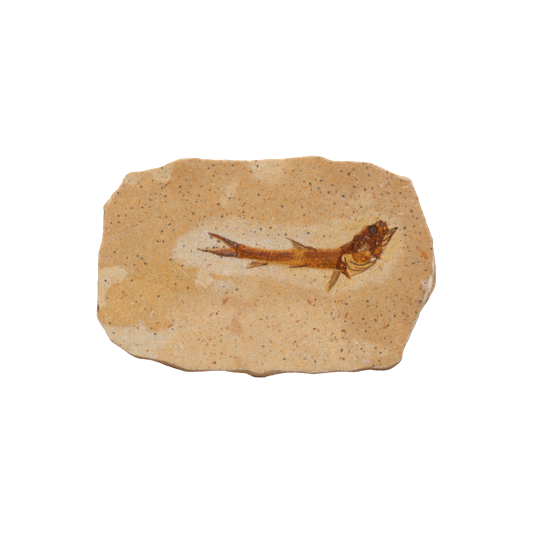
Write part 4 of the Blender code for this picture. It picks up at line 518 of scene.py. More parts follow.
# Bones, rays and dark lines: colour, amount, half width at the start and end, height, line.
BONES = [
    # Jaws, snout and cheek.
    (DARK, 0.95, 0.3, 0.26, 0.24, [(44.3, 9.8), (45.5, 10.2), (46.6, 11.2), (47.7, 12.3), (48.7, 13.1)]),
    (DARK, 0.95, 0.26, 0.28, 0.18, [
        (44.7, 7.9), (45.9, 8.8), (46.8, 10.3), (47.7, 11.9), (49, 13.6), (49.9, 14.7)]),
    (UMBER, 0.8, 0.15, 0.15, 0.1, [(46.4, 9), (47.4, 10.5), (48.4, 12.2), (49.2, 13.6)]),
    (DARK, 0.9, 0.22, 0.22, 0.12, [(46, 12.2), (47.3, 13), (48, 13.5)]),
    (DARK, 0.75, 0.3, 0.3, 0.14, [(47, 13.8), (47.9, 14.4), (48.8, 14.7), (49.7, 14.9)]),
    (UMBER, 0.8, 0.3, 0.34, 0.1, [(47.2, 13.6), (49.3, 14.5)]),
    (UMBER, 0.8, 0.14, 0.14, 0.1, [(46.2, 11), (47.4, 12.4), (48.6, 13.6)]),
    (BLACK_BROWN, 0.95, 0.34, 0.46, 0.16, [(49.4, 14.7), (49.9, 14.8)]),
    (LINE_BROWN, 0.8, 0.3, 0.2, 0.16, [(43.5, 4.4), (44.6, 6.2), (45.7, 7.9), (46.5, 9.2)]),
    (BLACK_BROWN, 0.6, 0.3, 0.24, 0.1, [(43.9, 5.4), (44.5, 6.4)]),
    (DARK, 0.85, 0.24, 0.2, 0.12, [(38.6, 15.2), (40.4, 15.9), (42, 16.8), (43.7, 17.8)]),
    (DARK, 0.8, 0.2, 0.2, 0.12, [(43.3, 17.2), (43.6, 16), (43, 15)]),
    (DARK, 0.75, 0.2, 0.2, 0.12, [(44.5, 15.3), (44.5, 14), (45.2, 13.4), (46.4, 13.9)]),
    (UMBER, 0.7, 0.16, 0.16, 0.1, [(45.6, 17.4), (45.7, 16.4), (45.9, 15.3)]),
    (UMBER, 0.6, 0.14, 0.14, 0.1, [(46.2, 16.6), (46.3, 15.2), (46.7, 14.4)]),
    (SKULL, 0.8, 0.34, 0.3, 0.16, [(38.4, 9.8), (39.9, 8.6), (41.4, 8.1), (43.2, 9)]),
    (SKULL, 0.7, 0.26, 0.26, 0.14, [(38.2, 13), (39.2, 11.7), (40.8, 11.3), (42.4, 11.8), (43.4, 13)]),
    (SKULL, 0.8, 0.3, 0.26, 0.16, [(33.6, 10.9), (36.6, 12.6), (38.4, 14.2)]),
    (BLACK_BROWN, 0.6, 0.3, 0.26, 0.14, [(36, 8.4), (37, 8.6), (37.6, 9.8), (38.8, 10.6)]),
    (BLACK_BROWN, 0.5, 0.3, 0.24, 0.12, [(31.4, 7.2), (32.8, 8.6), (34, 10)]),
    (BLACK_BROWN, 0.5, 0.3, 0.24, 0.12, [(34.6, 8), (35.4, 9.4), (35.2, 10.8)]),
    (DARK, 0.75, 0.24, 0.22, 0.12, [(39.6, 6.8), (41, 8), (42.6, 8.6), (44, 10.2)]),
    (DARK, 0.8, 0.22, 0.2, 0.12, [(40.6, 4.8), (41.4, 6.3), (42.8, 7.6), (44.2, 8)]),
    (DARK, 0.85, 0.3, 0.34, 0.18, [(39.8, 2.4), (40.6, 3.3), (41.8, 3.7), (42.8, 3.4)]),
    (DARK, 0.85, 0.34, 0.3, 0.16, [(39.6, 1.4), (40.8, 1.9), (42, 2.6), (43.2, 3.4)]),
    # Gill cover and throat.
    (BLACK_BROWN, 0.9, 0.24, 0.3, 0.24, [
        (32, 1.9), (33.6, 1), (35.4, 0.5), (37.2, 0.7), (38.3, 1.1), (39.2, 1.6)]),
    (DARK, 0.9, 0.3, 0.22, 0.2, [
        (29.9, 3.3), (30.2, 1.9), (31, 0.2), (31.9, -1), (33.8, -1.6), (36.2, -1.5)]),
    (DARK, 0.8, 0.2, 0.22, 0.14, [(33.9, -0.4), (36, -0.8), (38.4, -0.5)]),
    (UMBER, 0.9, 0.2, 0.22, 0.14, [(32.3, -3.6), (35.2, -2.7), (37.4, -1.7), (39, -0.6), (41.6, 1.4)]),
    (UMBER, 0.85, 0.2, 0.2, 0.12, [(36.6, -1.7), (38.4, -0.4), (40.2, 0.7), (42, 2.4)]),
    (RED_BROWN, 0.9, 0.4, 0.22, 0.18, [(32.9, 4.6), (33.1, 3.5), (34, 2.4)]),
    (UMBER, 0.6, 0.24, 0.24, 0.14, [(39.4, 5.2), (40, 4.4), (39.8, 3.2), (39.2, 2.4)]),
    (RED_BROWN, 0.6, 0.22, 0.2, 0.12, [(35.8, 3.8), (37, 4.2), (38.4, 3.6), (38, 2.4), (36.6, 2.2)]),
    # Painted highlight: a pale streak along the top of the gill cover.
    (PALE_SPOT_AND_HIGHLIGHT, 0.75, 0.3, 0.2, 0.16, [(35.4, 5.9), (36.7, 6.6), (38.1, 7.4)]),
    # Shoulder.
    (SKULL, 0.9, 0.4, 0.5, 0.26, [(29.3, 5.3), (28.2, 3.9), (27.6, 2.2), (27.7, 0.6)]),
    (DARK, 0.9, 0.24, 0.3, 0.2, [(28.2, 1.9), (29.4, 1.5), (30.3, 0.6), (30.4, -0.6), (30, -1.6)]),
    (BLACK_BROWN, 0.8, 0.3, 0.4, 0.18, [(25, -0.5), (26.2, -0.6), (27.7, -0.9)]),
    (RED_BROWN, 0.8, 0.3, 0.3, 0.14, [(25.8, 1), (26.8, 1), (27.6, 1.4)]),
    (BLACK_BROWN, 0.8, 0.4, 0.2, 0.2, [(29, -2.2), (30.2, -3.1), (31.2, -4.3)]),
    (UMBER, 0.75, 0.22, 0.24, 0.12, [(28.2, 7.2), (29.8, 8.3), (31.8, 9.2)]),
    (UMBER, 0.6, 0.3, 0.3, 0.12, [(28, 7.1), (29.2, 6.9), (30, 6.6)]),
    # Tail.
    (PURPLE, 0.9, 0.85, 0.62, 0.2, [(-12, 8.1), (-13.5, 8.9), (-15.2, 9.9), (-16.4, 10.6)]),
    (RED_BROWN, 0.75, 0.6, 0.34, 0.14, [(-16.4, 10.6), (-18.9, 11.7), (-20.2, 12.2)]),
    (DARK, 0.75, 0.16, 0.14, 0.14, [(-11.4, 9), (-14, 9.95), (-17.2, 11.4), (-19.6, 12.4)]),
    (DARK, 0.4, 0.16, 0.12, 0.1, [(-12.4, 7.3), (-14.6, 8.6), (-17.4, 10.2), (-19.6, 11.6)]),
    (GREY_BLUE, 0.85, 0.42, 0.24, 0.12, [(-20.2, 12.2), (-21.4, 12.5), (-22.2, 12.8)]),
    (PURPLE, 0.9, 0.72, 0.6, 0.2, [(-11.8, 4.5), (-14.8, 4.5), (-17.2, 4.8)]),
    (SKULL, 0.7, 0.6, 0.4, 0.14, [(-17.2, 4.8), (-19.4, 5.2), (-21, 5.6)]),
    (DARK, 0.8, 0.16, 0.14, 0.14, [(-12.4, 3.9), (-14.4, 3.8), (-17, 4), (-19.2, 4.5)]),
    (UMBER, 0.7, 0.4, 0.34, 0.12, [(-20.8, 5.8), (-22.6, 6)]),
    (BLACK_BROWN, 0.9, 0.4, 0.24, 0.14, [(-22.8, 5.9), (-23.8, 6), (-24.6, 6.3)]),
    (UMBER, 0.65, 0.16, 0.12, 0.1, [(-24.6, 6.2), (-26.4, 6.7)]),
    (UMBER, 0.5, 0.14, 0.12, 0.1, [(-12.4, 5.7), (-15, 6), (-18.4, 5.9), (-21.4, 6.2)]),
    (DARK, 0.9, 0.26, 0.26, 0.2, [(-11, 8.6), (-11.2, 7.1), (-11.7, 5.9), (-11.7, 5)]),
    (RED_BROWN, 0.75, 0.3, 0.24, 0.14, [(-12, 3.7), (-10.6, 3.4), (-9.6, 3.4)]),
    (DARK, 0.6, 0.26, 0.22, 0.12, [(-10.4, 8.6), (-9, 8.1), (-8.2, 7.6)]),
    # Trunk.
    (RED_BROWN, 0.4, 1.3, 0.6, 0.02, [(-9, 5.2), (-5, 4.3), (0, 3.8), (5, 3.7), (8.6, 3.9)]),
    (RED_BROWN, 0.3, 1.1, 1, 0.02, [(15.2, 4.3), (20, 4.2), (25, 4.6), (28.6, 5.2)]),
    (RED_BROWN, 0.75, 0.5, 0.24, 0.08, [
        (-10, 6.2), (-8.2, 5.6), (-5, 5.1), (-1, 4.9), (3, 4.9), (7, 4.8), (10.4, 4.8)]),
    (RED_BROWN, 0.7, 0.36, 0.2, 0.06, [(-9, 4.4), (-6, 3.5), (-1, 2.8), (3, 2.5), (7, 2.4), (9, 2.5)]),
    (DARK, 0.5, 0.4, 0.36, 0.06, [(-8.6, 5.8), (-6.4, 5), (-4, 4.6)]),
    (RED_BROWN, 0.75, 0.34, 0.36, 0.08, [(14.6, 5.1), (16.4, 5), (18.6, 5.2), (21, 5.2), (23, 5.1)]),
    (RED_BROWN, 0.5, 0.3, 0.3, 0.06, [(15.4, 3.7), (18, 3.6), (22, 3.9), (27, 4.2)]),
    (UMBER, 0.4, 0.3, 0.24, 0.05, [(15.6, 2.6), (19, 2.2), (23, 2.6), (27, 3.2)]),
    # Fins.
    (UMBER, 0.9, 0.28, 0.15, 0.2, [
        (18.8, 6.4), (17.2, 7.4), (15, 7.6), (13.2, 8.5), (10.4, 9.8), (7.3, 11.1)]),
    (DARK, 0.8, 0.4, 0.2, 0.12, [(18.9, 6.2), (17.4, 6.6), (16.4, 7)]),
    (DARK, 0.95, 0.17, 0.13, 0.12, [(16.8, 6.9), (14.6, 7.3), (12.8, 8.2), (10.4, 9.3)]),
    (DARK, 0.95, 0.16, 0.13, 0.12, [(15.6, 6.6), (13.8, 6.8), (12.4, 7.5), (10.5, 8.5)]),
    (DARK, 0.9, 0.15, 0.12, 0.1, [(13.6, 6.3), (12.2, 6.9), (10.5, 7.7)]),
    (UMBER, 0.8, 0.14, 0.12, 0.1, [(14.4, 7.7), (12.6, 8.7), (9.6, 9.9)]),
    (UMBER, 0.9, 0.24, 0.16, 0.14, [(0.4, 1.1), (-1.6, 0.5), (-4.4, 0), (-7.4, -0.7)]),
    (BLACK_BROWN, 0.85, 0.34, 0.26, 0.14, [(0.3, 1.1), (-0.8, 0.9), (-1.4, 0.8)]),
    (RUST, 0.85, 0.3, 0.24, 0.12, [(-1.8, 1.1), (-3.2, 1.2), (-4.4, 0.9)]),
    (SPECK, 0.75, 0.3, 0.26, 0.12, [(-4.2, 1.5), (-5.4, 1.4), (-6.2, 0.7)]),
    (RAY_BROWN, 0.6, 0.14, 0.1, 0.08, [(-2.4, 1.8), (-4, 1.7), (-6, 2.2)]),
    (BLACK_BROWN, 0.9, 0.22, 0.16, 0.2, [(28.1, -1.8), (27.3, -4), (26.3, -6), (25.2, -7.6), (23.7, -9.2)]),
    (DARK, 0.95, 0.14, 0.12, 0.14, [(27.5, -1.8), (26.7, -3.8), (25.4, -6), (23.9, -8.2)]),
    (DARK, 0.9, 0.14, 0.11, 0.12, [(26.9, -1.6), (26, -3.2), (24.7, -5.2), (24, -6.4)]),
    (DARK, 0.85, 0.14, 0.11, 0.12, [(26.3, -1.6), (25.3, -3.2), (24.8, -4)]),
    (UMBER, 0.8, 0.13, 0.11, 0.12, [(25.9, -1.4), (25.4, -2.2)]),
    (ORANGE_BROWN, 0.5, 0.24, 0.2, 0.06, [(22.6, -4.2), (23.8, -4.2)]),
    (SPECK, 0.85, 0.32, 0.3, 0.16, [(8.8, -0.3), (10.2, -0.2)]),
    (RED_BROWN, 0.9, 0.34, 0.36, 0.16, [(10.2, -0.2), (11.6, -0.1), (13.2, 0)]),
    (BLACK_BROWN, 0.9, 0.34, 0.36, 0.18, [(13, 0), (14.4, 0.3), (15.1, 0.2)]),
    (RED_BROWN, 0.5, 0.5, 0.3, 0.04, [(13.4, 0.4), (15.4, 0.8), (17.4, 0.9)]),
    (RAY_BROWN, 0.5, 0.3, 0.24, 0.08, [(15, -0.2), (17.6, -0.3)]),
    (RED_BROWN, 0.6, 0.2, 0.2, 0.06, [(24, -0.5), (25.4, -0.5)]),
]

# The thin rays that cross the belly: foot of the first, step from one to the next, and run of each.
BELLY_RAYS = 6
BELLY_RAY_FOOT = (19.8, 0.1)
BELLY_RAY_STEP = (0.86, -0.14)
BELLY_RAY_RUN = (2.7, 3.0)
BELLY_RAY_HALF = 0.13
BELLY_RAY_HEIGHT = 0.1

# Rounded spots: colour, amount, radius, raised height, places.
SPOTS = [
    (GREY_BLUE, 0.7, 0.36, 0, [
        (-7.5, 4.8), (-6.8, 5.3), (-5.2, 4.9), (-3.3, 4.3), (-1.9, 4.1), (-0.5, 4), (0.9, 3.8), (2.3, 3.7),
        (3.7, 3.5), (5.2, 3.4), (6.6, 3.3), (7.9, 3.3), (9.5, 3.2), (11, 3.2)]),
    (GREY_BLUE, 0.6, 0.3, 0, [
        (-3.4, 5.4), (0, 5.1), (1.4, 5.1), (3, 5.1), (5, 5.1), (6.3, 4.5), (7.3, 4.3), (9, 5.1),
        (10.3, 4.8), (2, 2.5), (7.2, 2.5), (8.6, 2.2)]),
    (GREY_BLUE, 0.65, 0.34, 0, [
        (15.7, 4.9), (16.8, 4.1), (20.6, 2.3), (19.5, 1.5), (22.8, 2.9), (24.6, 4.7), (23.5, 4.1),
        (16, 0.7), (17.6, -0.2), (13.6, 3), (12, 2.8)]),
    (BLACK_BROWN, 0.6, 0.3, 0, [(21.9, 0.8), (22.5, 1.2), (21.5, -0.5), (0.2, 2.3), (1.9, 2.4)]),
    (AMBER, 0.6, 0.55, 0, [(11.8, 4.9), (12.9, 4.4), (12.4, 3.8), (13.4, 4)]),
    (AMBER_PALE, 0.4, 0.4, 0, [(12.3, 4.8), (13.2, 4), (13.6, 5.2)]),
    # Painted highlights: lilac glints on the root of the tail and on the trunk.
    (HIGHLIGHT_LILAC, 0.85, 0.42, 0.08, [(-12, 8.1), (-12.2, 4.5)]),
    (HIGHLIGHT_LILAC, 0.5, 0.24, 0.06, [
        (-9.8, 7.5), (-8.9, 6.6), (-7.2, 5.8), (-10.6, 4.4), (-13.4, 9), (-15.2, 10.1), (-13.2, 4.7),
        (-15.6, 4.9)]),
    # Painted highlights: pale glints on the trunk, the shoulder and the head.
    (HIGHLIGHT_PALE, 0.75, 0.2, 0.05, [(2.2, 5.8), (1.9, 5), (42.3, 8.9), (29.7, -0.1)]),
    (HIGHLIGHT_PALE, 0.6, 0.22, 0.05, [(37.9, 11.3), (38.8, 11), (36.9, 2.8), (37.9, 7.3)]),
    (GREY_BLUE, 0.8, 0.36, 0.04, [(35.6, 3.8), (43.6, 10.4), (34, 10.6)]),
    (OLIVE, 0.8, 0.42, 0.04, [(36.3, 9.2)]),
    (PURPLE, 0.75, 0.5, 0.1, [(44.2, 16.4), (44.7, 15.8)]),
    (BLACK_BROWN, 0.6, 0.34, 0, [(42, 14.8), (41.6, 13), (40.2, 12.6), (39.6, 13.6), (39.9, 15)]),
    (UMBER, 0.6, 0.24, 0, [
        (41.2, 14.7), (40.4, 13.6), (41.6, 13.8), (40.7, 15.1), (39.9, 14.2), (41, 12.9)]),
    (ORANGE_BROWN, 0.3, 0.2, 0, [(41.3, 14.3), (40.1, 13.2), (41.9, 14.2)]),
    # Painted highlights: lilac glints on the head, and the bright glint on the gill cover with more round it.
    (HIGHLIGHT_LILAC, 0.6, 0.2, 0.08, [(44.5, 16.6), (44.1, 15.9), (45.1, 16), (43, 4.2), (42.6, 10)]),
    (HIGHLIGHT_PALE, 0.95, 0.36, 0.16, [(40, 2.6), (40.6, 2.8), (41.2, 3.1)]),
    (HIGHLIGHT_LILAC, 0.8, 0.26, 0.1, [(41.5, 3.4), (40.3, 1.9), (41.9, 3)]),
    (BLACK_BROWN, 0.85, 0.28, 0.1, [(30, 3), (28.6, 7.2), (39.5, 3.1), (39.1, 1.5)]),
    (SPECK, 0.9, 0.4, 0, [
        (-26, 6.7), (-22.8, 7), (-20.4, 7.2), (-20, 7.2), (-19, 7.3), (-16.3, 7.6), (-18.6, 9.8),
        (-18.1, 9.5), (-21.3, 11.3), (-20.8, 10.9), (-17.3, 3.5)]),
    (SPECK, 0.55, 0.26, 0, [
        (-18.2, 7.3), (-15.6, 7.3), (-17.6, 9.5), (-21.2, 11.9), (-22.2, 12.9), (-20, 12.3), (-5.2, 1.3),
        (19.3, 7), (20.2, 6.7)]),
]

# The grains that lie in rows beside the backbone, and the ribs under it.
GRAIN_SEED = 41
GRAIN_ROWS = (-1.7, -1.25, -0.75, -0.3, 0.2, 0.7, 1.15, 1.6)
GRAIN_STEP = 0.7
GRAIN_RUN = 40.0
SKULL_GRAINS = 520
RIBS = 9
RIB_FOOT = (13.0, 0.0)
RIB_STEP = 0.85
RIB_RUN = (2.0, 2.6)

# Rounded masses of the body: line that they follow, half width at its start and end, height.
MASSES = [
    ([(-12, 6.3), (-5, 5), (3, 3.8), (12, 3.4), (22, 3.2), (29, 3.9)], 2.1, 4, 0.3),
    ([(30, 6.6), (34, 8.4), (38.5, 10.8), (42, 12.2), (45, 14.8)], 3, 3.2, 0.4),
    ([(34.8, 3), (38.2, 3.6)], 1.9, 2, 0.3),
    ([(41.4, 5), (43.8, 7)], 0.9, 0.8, 0.24),
    ([(28.4, 1.4), (29.8, -0.6)], 1.3, 1.5, 0.36),
    ([(43.6, 16.6), (45.2, 16.8)], 0.9, 0.8, 0.24),
    ([(43.8, 14.6), (45.4, 14.4)], 0.9, 0.8, 0.24),
    ([(33.9, 11.6), (34.6, 11.2)], 1, 1, 0.2),
    ([(36.6, 13.4), (37.6, 13.9)], 0.9, 0.9, 0.18),
]
BACKBONE = [
    (-11.4, 6.9), (-8, 6), (-4, 4.9), (1, 4.1), (6, 3.9), (11, 4.1), (16, 4.5), (21, 4.7), (26, 5),
    (29.5, 5.8),
]
BACKBONE_HALF = 0.7
BACKBONE_HEIGHT = 0.16
VERTEBRA = 1.35           # length of one vertebra

EYE = (40.8, 13.95)
EYE_RADIUS = 1.92
EYE_RIM = 0.5
EYE_HEIGHT = 0.26
LENS_SHIFT = (0.1, -0.1)  # from the middle of the eye to that of its paler lens
LENS_RADIUS = 1.0

# How the lines and spots are painted: width of their soft border, and gloss.
STREAK_PAINT = (0.3, 0.7)
BONE_PAINT = (0.2, 0.9)
EYE_PAINT = (0.4, 1.0)
LENS_PAINT = (0.9, 1.0)
GRAIN_GLOSS = 0.8
SPOT_GLOSS = 0.9


def blended(colours, other, share):
    """The colours, each moved towards another one by its own share."""
    return colours + (np.array(other) - colours) * share[:, None]


def ease(value):
    """A smooth rise from 0 to 1 while the value goes from 0 to 1."""
    value = np.clip(value, 0.0, 1.0)
    return value * value * (3.0 - 2.0 * value)


def rough(points, size, layer=0.0):
    """Smooth noise from about -1 to 1, with lumps of about the given size. Each layer is another pattern."""
    places = np.full((len(points), 3), layer)
    places[:, :points.shape[1]] += points / size
    return np.array([noise.noise(place) for place in places.tolist()])


def drift(points, size, layers):
    """A smooth random step in the plane at each point, from two layers of noise."""
    return np.column_stack([rough(points, size, layer) for layer in layers])


def line_distance(points, line):
    """How far each point is from a bent line, how far along the line its nearest place is, and its length."""
    best = np.full(len(points), np.inf)
    place = np.zeros(len(points))
    run = 0.0
    for start, end in zip(np.array(line[:-1]), np.array(line[1:])):
        step = end - start
        length = np.linalg.norm(step)
        share = np.clip((points - start) @ step / length**2, 0.0, 1.0)
        distance = np.linalg.norm(points - start - share[:, None] * step, axis=1)
        nearer = distance < best
        best[nearer] = distance[nearer]
        place[nearer] = run + share[nearer] * length
        run += length
    return best, place, run


def inside(points, outline):
    """Which points lie inside a closed outline."""
    result = np.zeros(len(points), dtype=bool)
    corners = np.array(outline)
    for (ax, ay), (bx, by) in zip(corners, np.roll(corners, -1, axis=0)):
        if ay == by:
            continue
        crosses = (points[:, 1] >= min(ay, by)) & (points[:, 1] < max(ay, by))
        at = ax + (points[:, 1] - ay) * (bx - ax) / (by - ay)
        result ^= crosses & (points[:, 0] < at)
    return result


def depth_inside(points, outline):
    """How far each point lies inside a closed outline; outside it, the same below zero."""
    distance, _, _ = line_distance(points, outline + outline[:1])
    return np.where(inside(points, outline), distance, -distance)


def near(points, line, margin):
    """Numbers of the points within the margin of the line's box."""
    corners = np.array(line)
    low = corners.min(axis=0) - margin
    high = corners.max(axis=0) + margin
    return np.flatnonzero(((points > low) & (points < high)).all(axis=1))


def depth_in_fish(points):
    """How far each point lies inside the fish's plan; far from it, a large value below zero."""
    depth = np.full(len(points), FAR_OUTSIDE)
    for outline in FISH_OUTLINES:
        held = near(points, outline, FISH_REACH)
        depth[held] = np.maximum(depth[held], depth_inside(points[held], outline))
    return depth


class Canvas:
    """The colour and gloss of a set of points, painted by shapes drawn on the split face."""

    def __init__(self, plan):
        self.plan = plan
        sway = drift(plan, 3.6, (4.1, 9.7))
        shake = drift(plan, 1.1, (2.3, 6.9))
        quiver = drift(plan, 0.55, (1.3, 7.7))
        self.wide = plan + 1.3 * sway + 0.6 * shake + 0.25 * quiver
        self.fine = plan + 0.14 * shake + 0.16 * quiver
        self.colour = np.tile(np.array(TAN), (len(plan), 1))
        self.gloss = np.zeros(len(plan))

    def lay(self, held, amount, colour, gloss):
        """Covers the held points with a colour and a gloss, by an amount for each point."""
        self.colour[held] = blended(self.colour[held], colour, amount)
        self.gloss[held] += (gloss - self.gloss[held]) * amount

    def area(self, points, outline, colour, amount, soft, gloss):
        """Covers a closed outline, with a soft border."""
        held = near(points, outline, soft + 0.5)
        self.lay(held, amount * ease(0.5 + depth_inside(points[held], outline) / soft), colour, gloss)

    def stroke(self, line, colour, amount, start_half, end_half, soft, gloss):
        """Draws a line that changes its width from one end to the other."""
        held = near(self.fine, line, max(start_half, end_half) + soft)
        distance, place, length = line_distance(self.fine[held], line)
        half = start_half + (end_half - start_half) * place / length
        self.lay(held, amount * ease(0.5 + (half - distance) / soft), colour, gloss)

    def spot(self, centre, radius, colour, amount, soft, gloss):
        """Draws a round spot with a soft border."""
        held = near(self.fine, [centre], radius + soft)
        distance = np.linalg.norm(self.fine[held] - np.array(centre), axis=1)
        self.lay(held, amount * ease(0.5 + (radius - distance) / soft), colour, gloss)

    def mottle(self):
        """Breaks up the glossy parts into darker and lighter patches, and deepens their colour."""
        patch = rough(self.plan, 1.2, 31.0) + rough(self.plan, 0.5, 37.0)
        darker = self.gloss * ease((patch - 0.05) / 0.5)
        lighter = self.gloss * ease((-patch - 0.1) / 0.5)
        self.colour *= 1.0 - darker[:, None] * np.array(MOTTLE_DARKER)
        self.colour += lighter[:, None] * np.array(MOTTLE_LIGHTER)
        factor, power = BONE_DEPTH
        self.colour = blended(self.colour, factor * np.clip(self.colour, 0.0, 1.0) ** power, self.gloss)


def belly_rays():
    """The parallel rays across the belly, as bones."""
    rays = []
    for index in range(BELLY_RAYS):
        x = BELLY_RAY_FOOT[0] + index * BELLY_RAY_STEP[0]
        y = BELLY_RAY_FOOT[1] + index * BELLY_RAY_STEP[1]
        line = [(x, y), (x + BELLY_RAY_RUN[0], y + BELLY_RAY_RUN[1])]
        rays.append((BLACK_BROWN, 0.9, BELLY_RAY_HALF, BELLY_RAY_HALF, BELLY_RAY_HEIGHT, line))
    return rays


def on_backbone(run, side):
    """The place at a length along the backbone and a distance to one side of it."""
    for start, end in zip(BACKBONE[:-1], BACKBONE[1:]):
        length = math.dist(start, end)
        if run <= length or end == BACKBONE[-1]:
            break
        run -= length
    along = ((end[0] - start[0]) / length, (end[1] - start[1]) / length)
    return (start[0] + along[0] * run - along[1] * side, start[1] + along[1] * run + along[0] * side)


def body_grains():
    """Small dark grains in rows along the trunk."""
    draw = random.Random(GRAIN_SEED)
    grains = []
    for side in GRAIN_ROWS:
        run = draw.uniform(0.0, GRAIN_STEP)
        while run < GRAIN_RUN:
            place = on_backbone(run + draw.uniform(-0.15, 0.15), side + draw.uniform(-0.14, 0.14))
            colour = draw.choice((DARK, GREY_BLUE, GREY_BLUE, AMBER_DEEP))
            grains.append((colour, draw.uniform(0.25, 0.8), draw.uniform(0.16, 0.28), place))
            run += GRAIN_STEP * draw.uniform(0.8, 1.25)
    return grains


def skull_grains():
    """Crushed bits of bone all over the skull, as spots."""
    draw = random.Random(GRAIN_SEED + 2)
    low, high = np.min(SKULL_PLAN, axis=0), np.max(SKULL_PLAN, axis=0)
    grains = []
    for _ in range(SKULL_GRAINS):
        place = (draw.uniform(low[0], high[0]), draw.uniform(low[1], high[1]))
        colour = draw.choice((AMBER_DEEP, ORANGE_BROWN, BLACK_BROWN, GREY_BLUE, LINE_BROWN))
        if depth_inside(np.array([place]), SKULL_PLAN)[0] > 0.2:
            grains.append((colour, draw.uniform(0.15, 0.55), draw.uniform(0.14, 0.3), place))
    return grains


def body_streaks():
    """Short streaks across the margins of the trunk, and the ribs that slant down to its belly."""
    draw = random.Random(GRAIN_SEED + 1)
    streaks = []
    run = 3.0
    while run < GRAIN_RUN:
        for inner, outer, lean in ((1.2, 2.3, -0.3), (-1.6, -2.9, -0.5)):
            line = [on_backbone(run, inner), on_backbone(run + lean, outer * draw.uniform(0.85, 1.1))]
            colour = draw.choice((ORANGE_BROWN, AMBER_PALE, AMBER_DEEP))
            streaks.append((colour, draw.uniform(0.2, 0.55), 0.14, line))
        run += 0.55 * draw.uniform(0.8, 1.2)
    for index in range(RIBS):
        x = RIB_FOOT[0] + index * RIB_STEP
        line = [(x, RIB_FOOT[1]), (x + RIB_RUN[0], RIB_FOOT[1] + RIB_RUN[1])]
        streaks.append((RED_BROWN, 0.4, 0.12, line))
    return streaks


def stone_tone(plan):
    """How the stone's colour changes from place to place, as a factor for each channel."""
    tone = 0.98 + 0.05 * rough(plan, 8.0, 3.3) + 0.06 * rough(plan, 2.2, 5.9)
    warmth = 0.08 * rough(plan, 5.0, 12.1) + 0.09 * rough(plan, 1.6, 14.9)
    return tone[:, None] * (1.0 + warmth[:, None] * np.array([0.2, -0.4, -1.4]))


def paint_stone(canvas):
    """Paints the zones of the split face and the broad changes in its tone."""
    for colour, amount, soft, outline in STONE_ZONES:
        canvas.area(canvas.wide, outline, colour, amount, soft, 0.0)
    canvas.colour *= stone_tone(canvas.plan)


def patch_places(plan):
    """How deep each point lies in the nearest patch of the top layers, and that patch's tint."""
    shaken = Canvas(plan).fine + 0.4 * drift(plan, 2.4, (21.0, 27.0))
    depth = np.full(len(plan), -PATCH_REACH)
    tint = np.zeros((len(plan), 4))
    for colour, amount, outline in PATCHES:
        held = near(shaken, outline, PATCH_REACH)
        found = depth_inside(shaken[held], outline)
        deeper = found > depth[held]
        chosen = held[deeper]
        depth[chosen] = found[deeper]
        tint[chosen] = (*colour, amount)
    tint[:, :3] *= stone_tone(plan)
    return depth, tint


def paint_fish(canvas):
    """Paints the fish and the stain that it has left in the stone."""
    for colour, amount, soft, gloss, outline in FISH_AREAS:
        canvas.area(canvas.fine, outline, colour, amount, soft, gloss)
    canvas.mottle()
    for colour, amount, half, line in body_streaks():
        canvas.stroke(line, colour, amount, half, 0.7 * half, *STREAK_PAINT)
    for colour, amount, start_half, end_half, _, line in BONES + belly_rays():
        canvas.stroke(line, colour, amount, start_half, end_half, *BONE_PAINT)
    for colour, amount, radius, place in body_grains() + skull_grains():
        canvas.spot(place, radius, colour, amount, radius, GRAIN_GLOSS)
    canvas.spot(EYE, EYE_RADIUS, EYE_RING, 0.97, *EYE_PAINT)
    lens = (EYE[0] + LENS_SHIFT[0], EYE[1] + LENS_SHIFT[1])
    canvas.spot(lens, LENS_RADIUS, EYE_MIDDLE, 0.75, *LENS_PAINT)
    # Some of the spots are painted highlights and glints on the glossy bone.
    for colour, amount, radius, _, places in SPOTS:
        for place in places:
            canvas.spot(place, radius, colour, amount, 0.8 * radius, SPOT_GLOSS)


def face_edges(faces):
    """The three edges of each triangle, as pairs of point numbers."""
    return faces[:, [0, 1, 1, 2, 2, 0]].reshape(-1, 2)


def split_round(verts, faces, wanted):
    """Splits each edge that is longer than wanted at its middle, once."""
    ends = np.sort(face_edges(faces), axis=1)
    keys, which = np.unique(ends[:, 0] * len(verts) + ends[:, 1], return_inverse=True)
    which = which.reshape(-1, 3)
    first, second = verts[keys // len(verts)], verts[keys % len(verts)]
    middles = (first + second) / 2.0
    cut = np.linalg.norm(first - second, axis=1) > wanted(middles)
    number = len(verts) + np.cumsum(cut) - 1
    cuts = cut[which]
    count = cuts.sum(axis=1)

    def turned(held, shift):
        """Corners and edge middles of the held faces, turned so that a chosen edge comes first."""
        order = (np.arange(3) + shift[:, None]) % 3
        corners = np.take_along_axis(faces[held], order, axis=1)
        return *corners.T, *np.take_along_axis(number[which[held]], order, axis=1).T

    made = [faces[count == 0]]
    one = count == 1
    a, b, c, m, _, _ = turned(one, cuts[one].argmax(axis=1))
    made += [np.column_stack([a, m, c]), np.column_stack([m, b, c])]
    two = count == 2
    a, b, c, m, n, _ = turned(two, cuts[two].argmin(axis=1) + 1)
    made += [np.column_stack([m, b, n]), np.column_stack([a, m, n]), np.column_stack([a, n, c])]
    three = count == 3
    a, b, c, m, n, o = turned(three, np.zeros(three.sum(), dtype=int))
    made += [np.column_stack(corners) for corners in ((a, m, o), (m, b, n), (o, n, c), (m, n, o))]
    return np.vstack([verts, middles[cut]]), np.vstack(made), cut.any()


def refined(verts, faces, wanted):
    """Splits the triangles until no edge is longer than wanted at its middle."""
    for _ in range(REFINE_ROUNDS):
        verts, faces, changed = split_round(verts, faces, wanted)
        if not changed:
            break
    return verts, faces


def edges_of(faces, count):
    """Every edge of the triangles, once."""
    ends = np.sort(face_edges(faces), axis=1)
    keys = np.unique(ends[:, 0] * count + ends[:, 1])
    return keys // count, keys % count


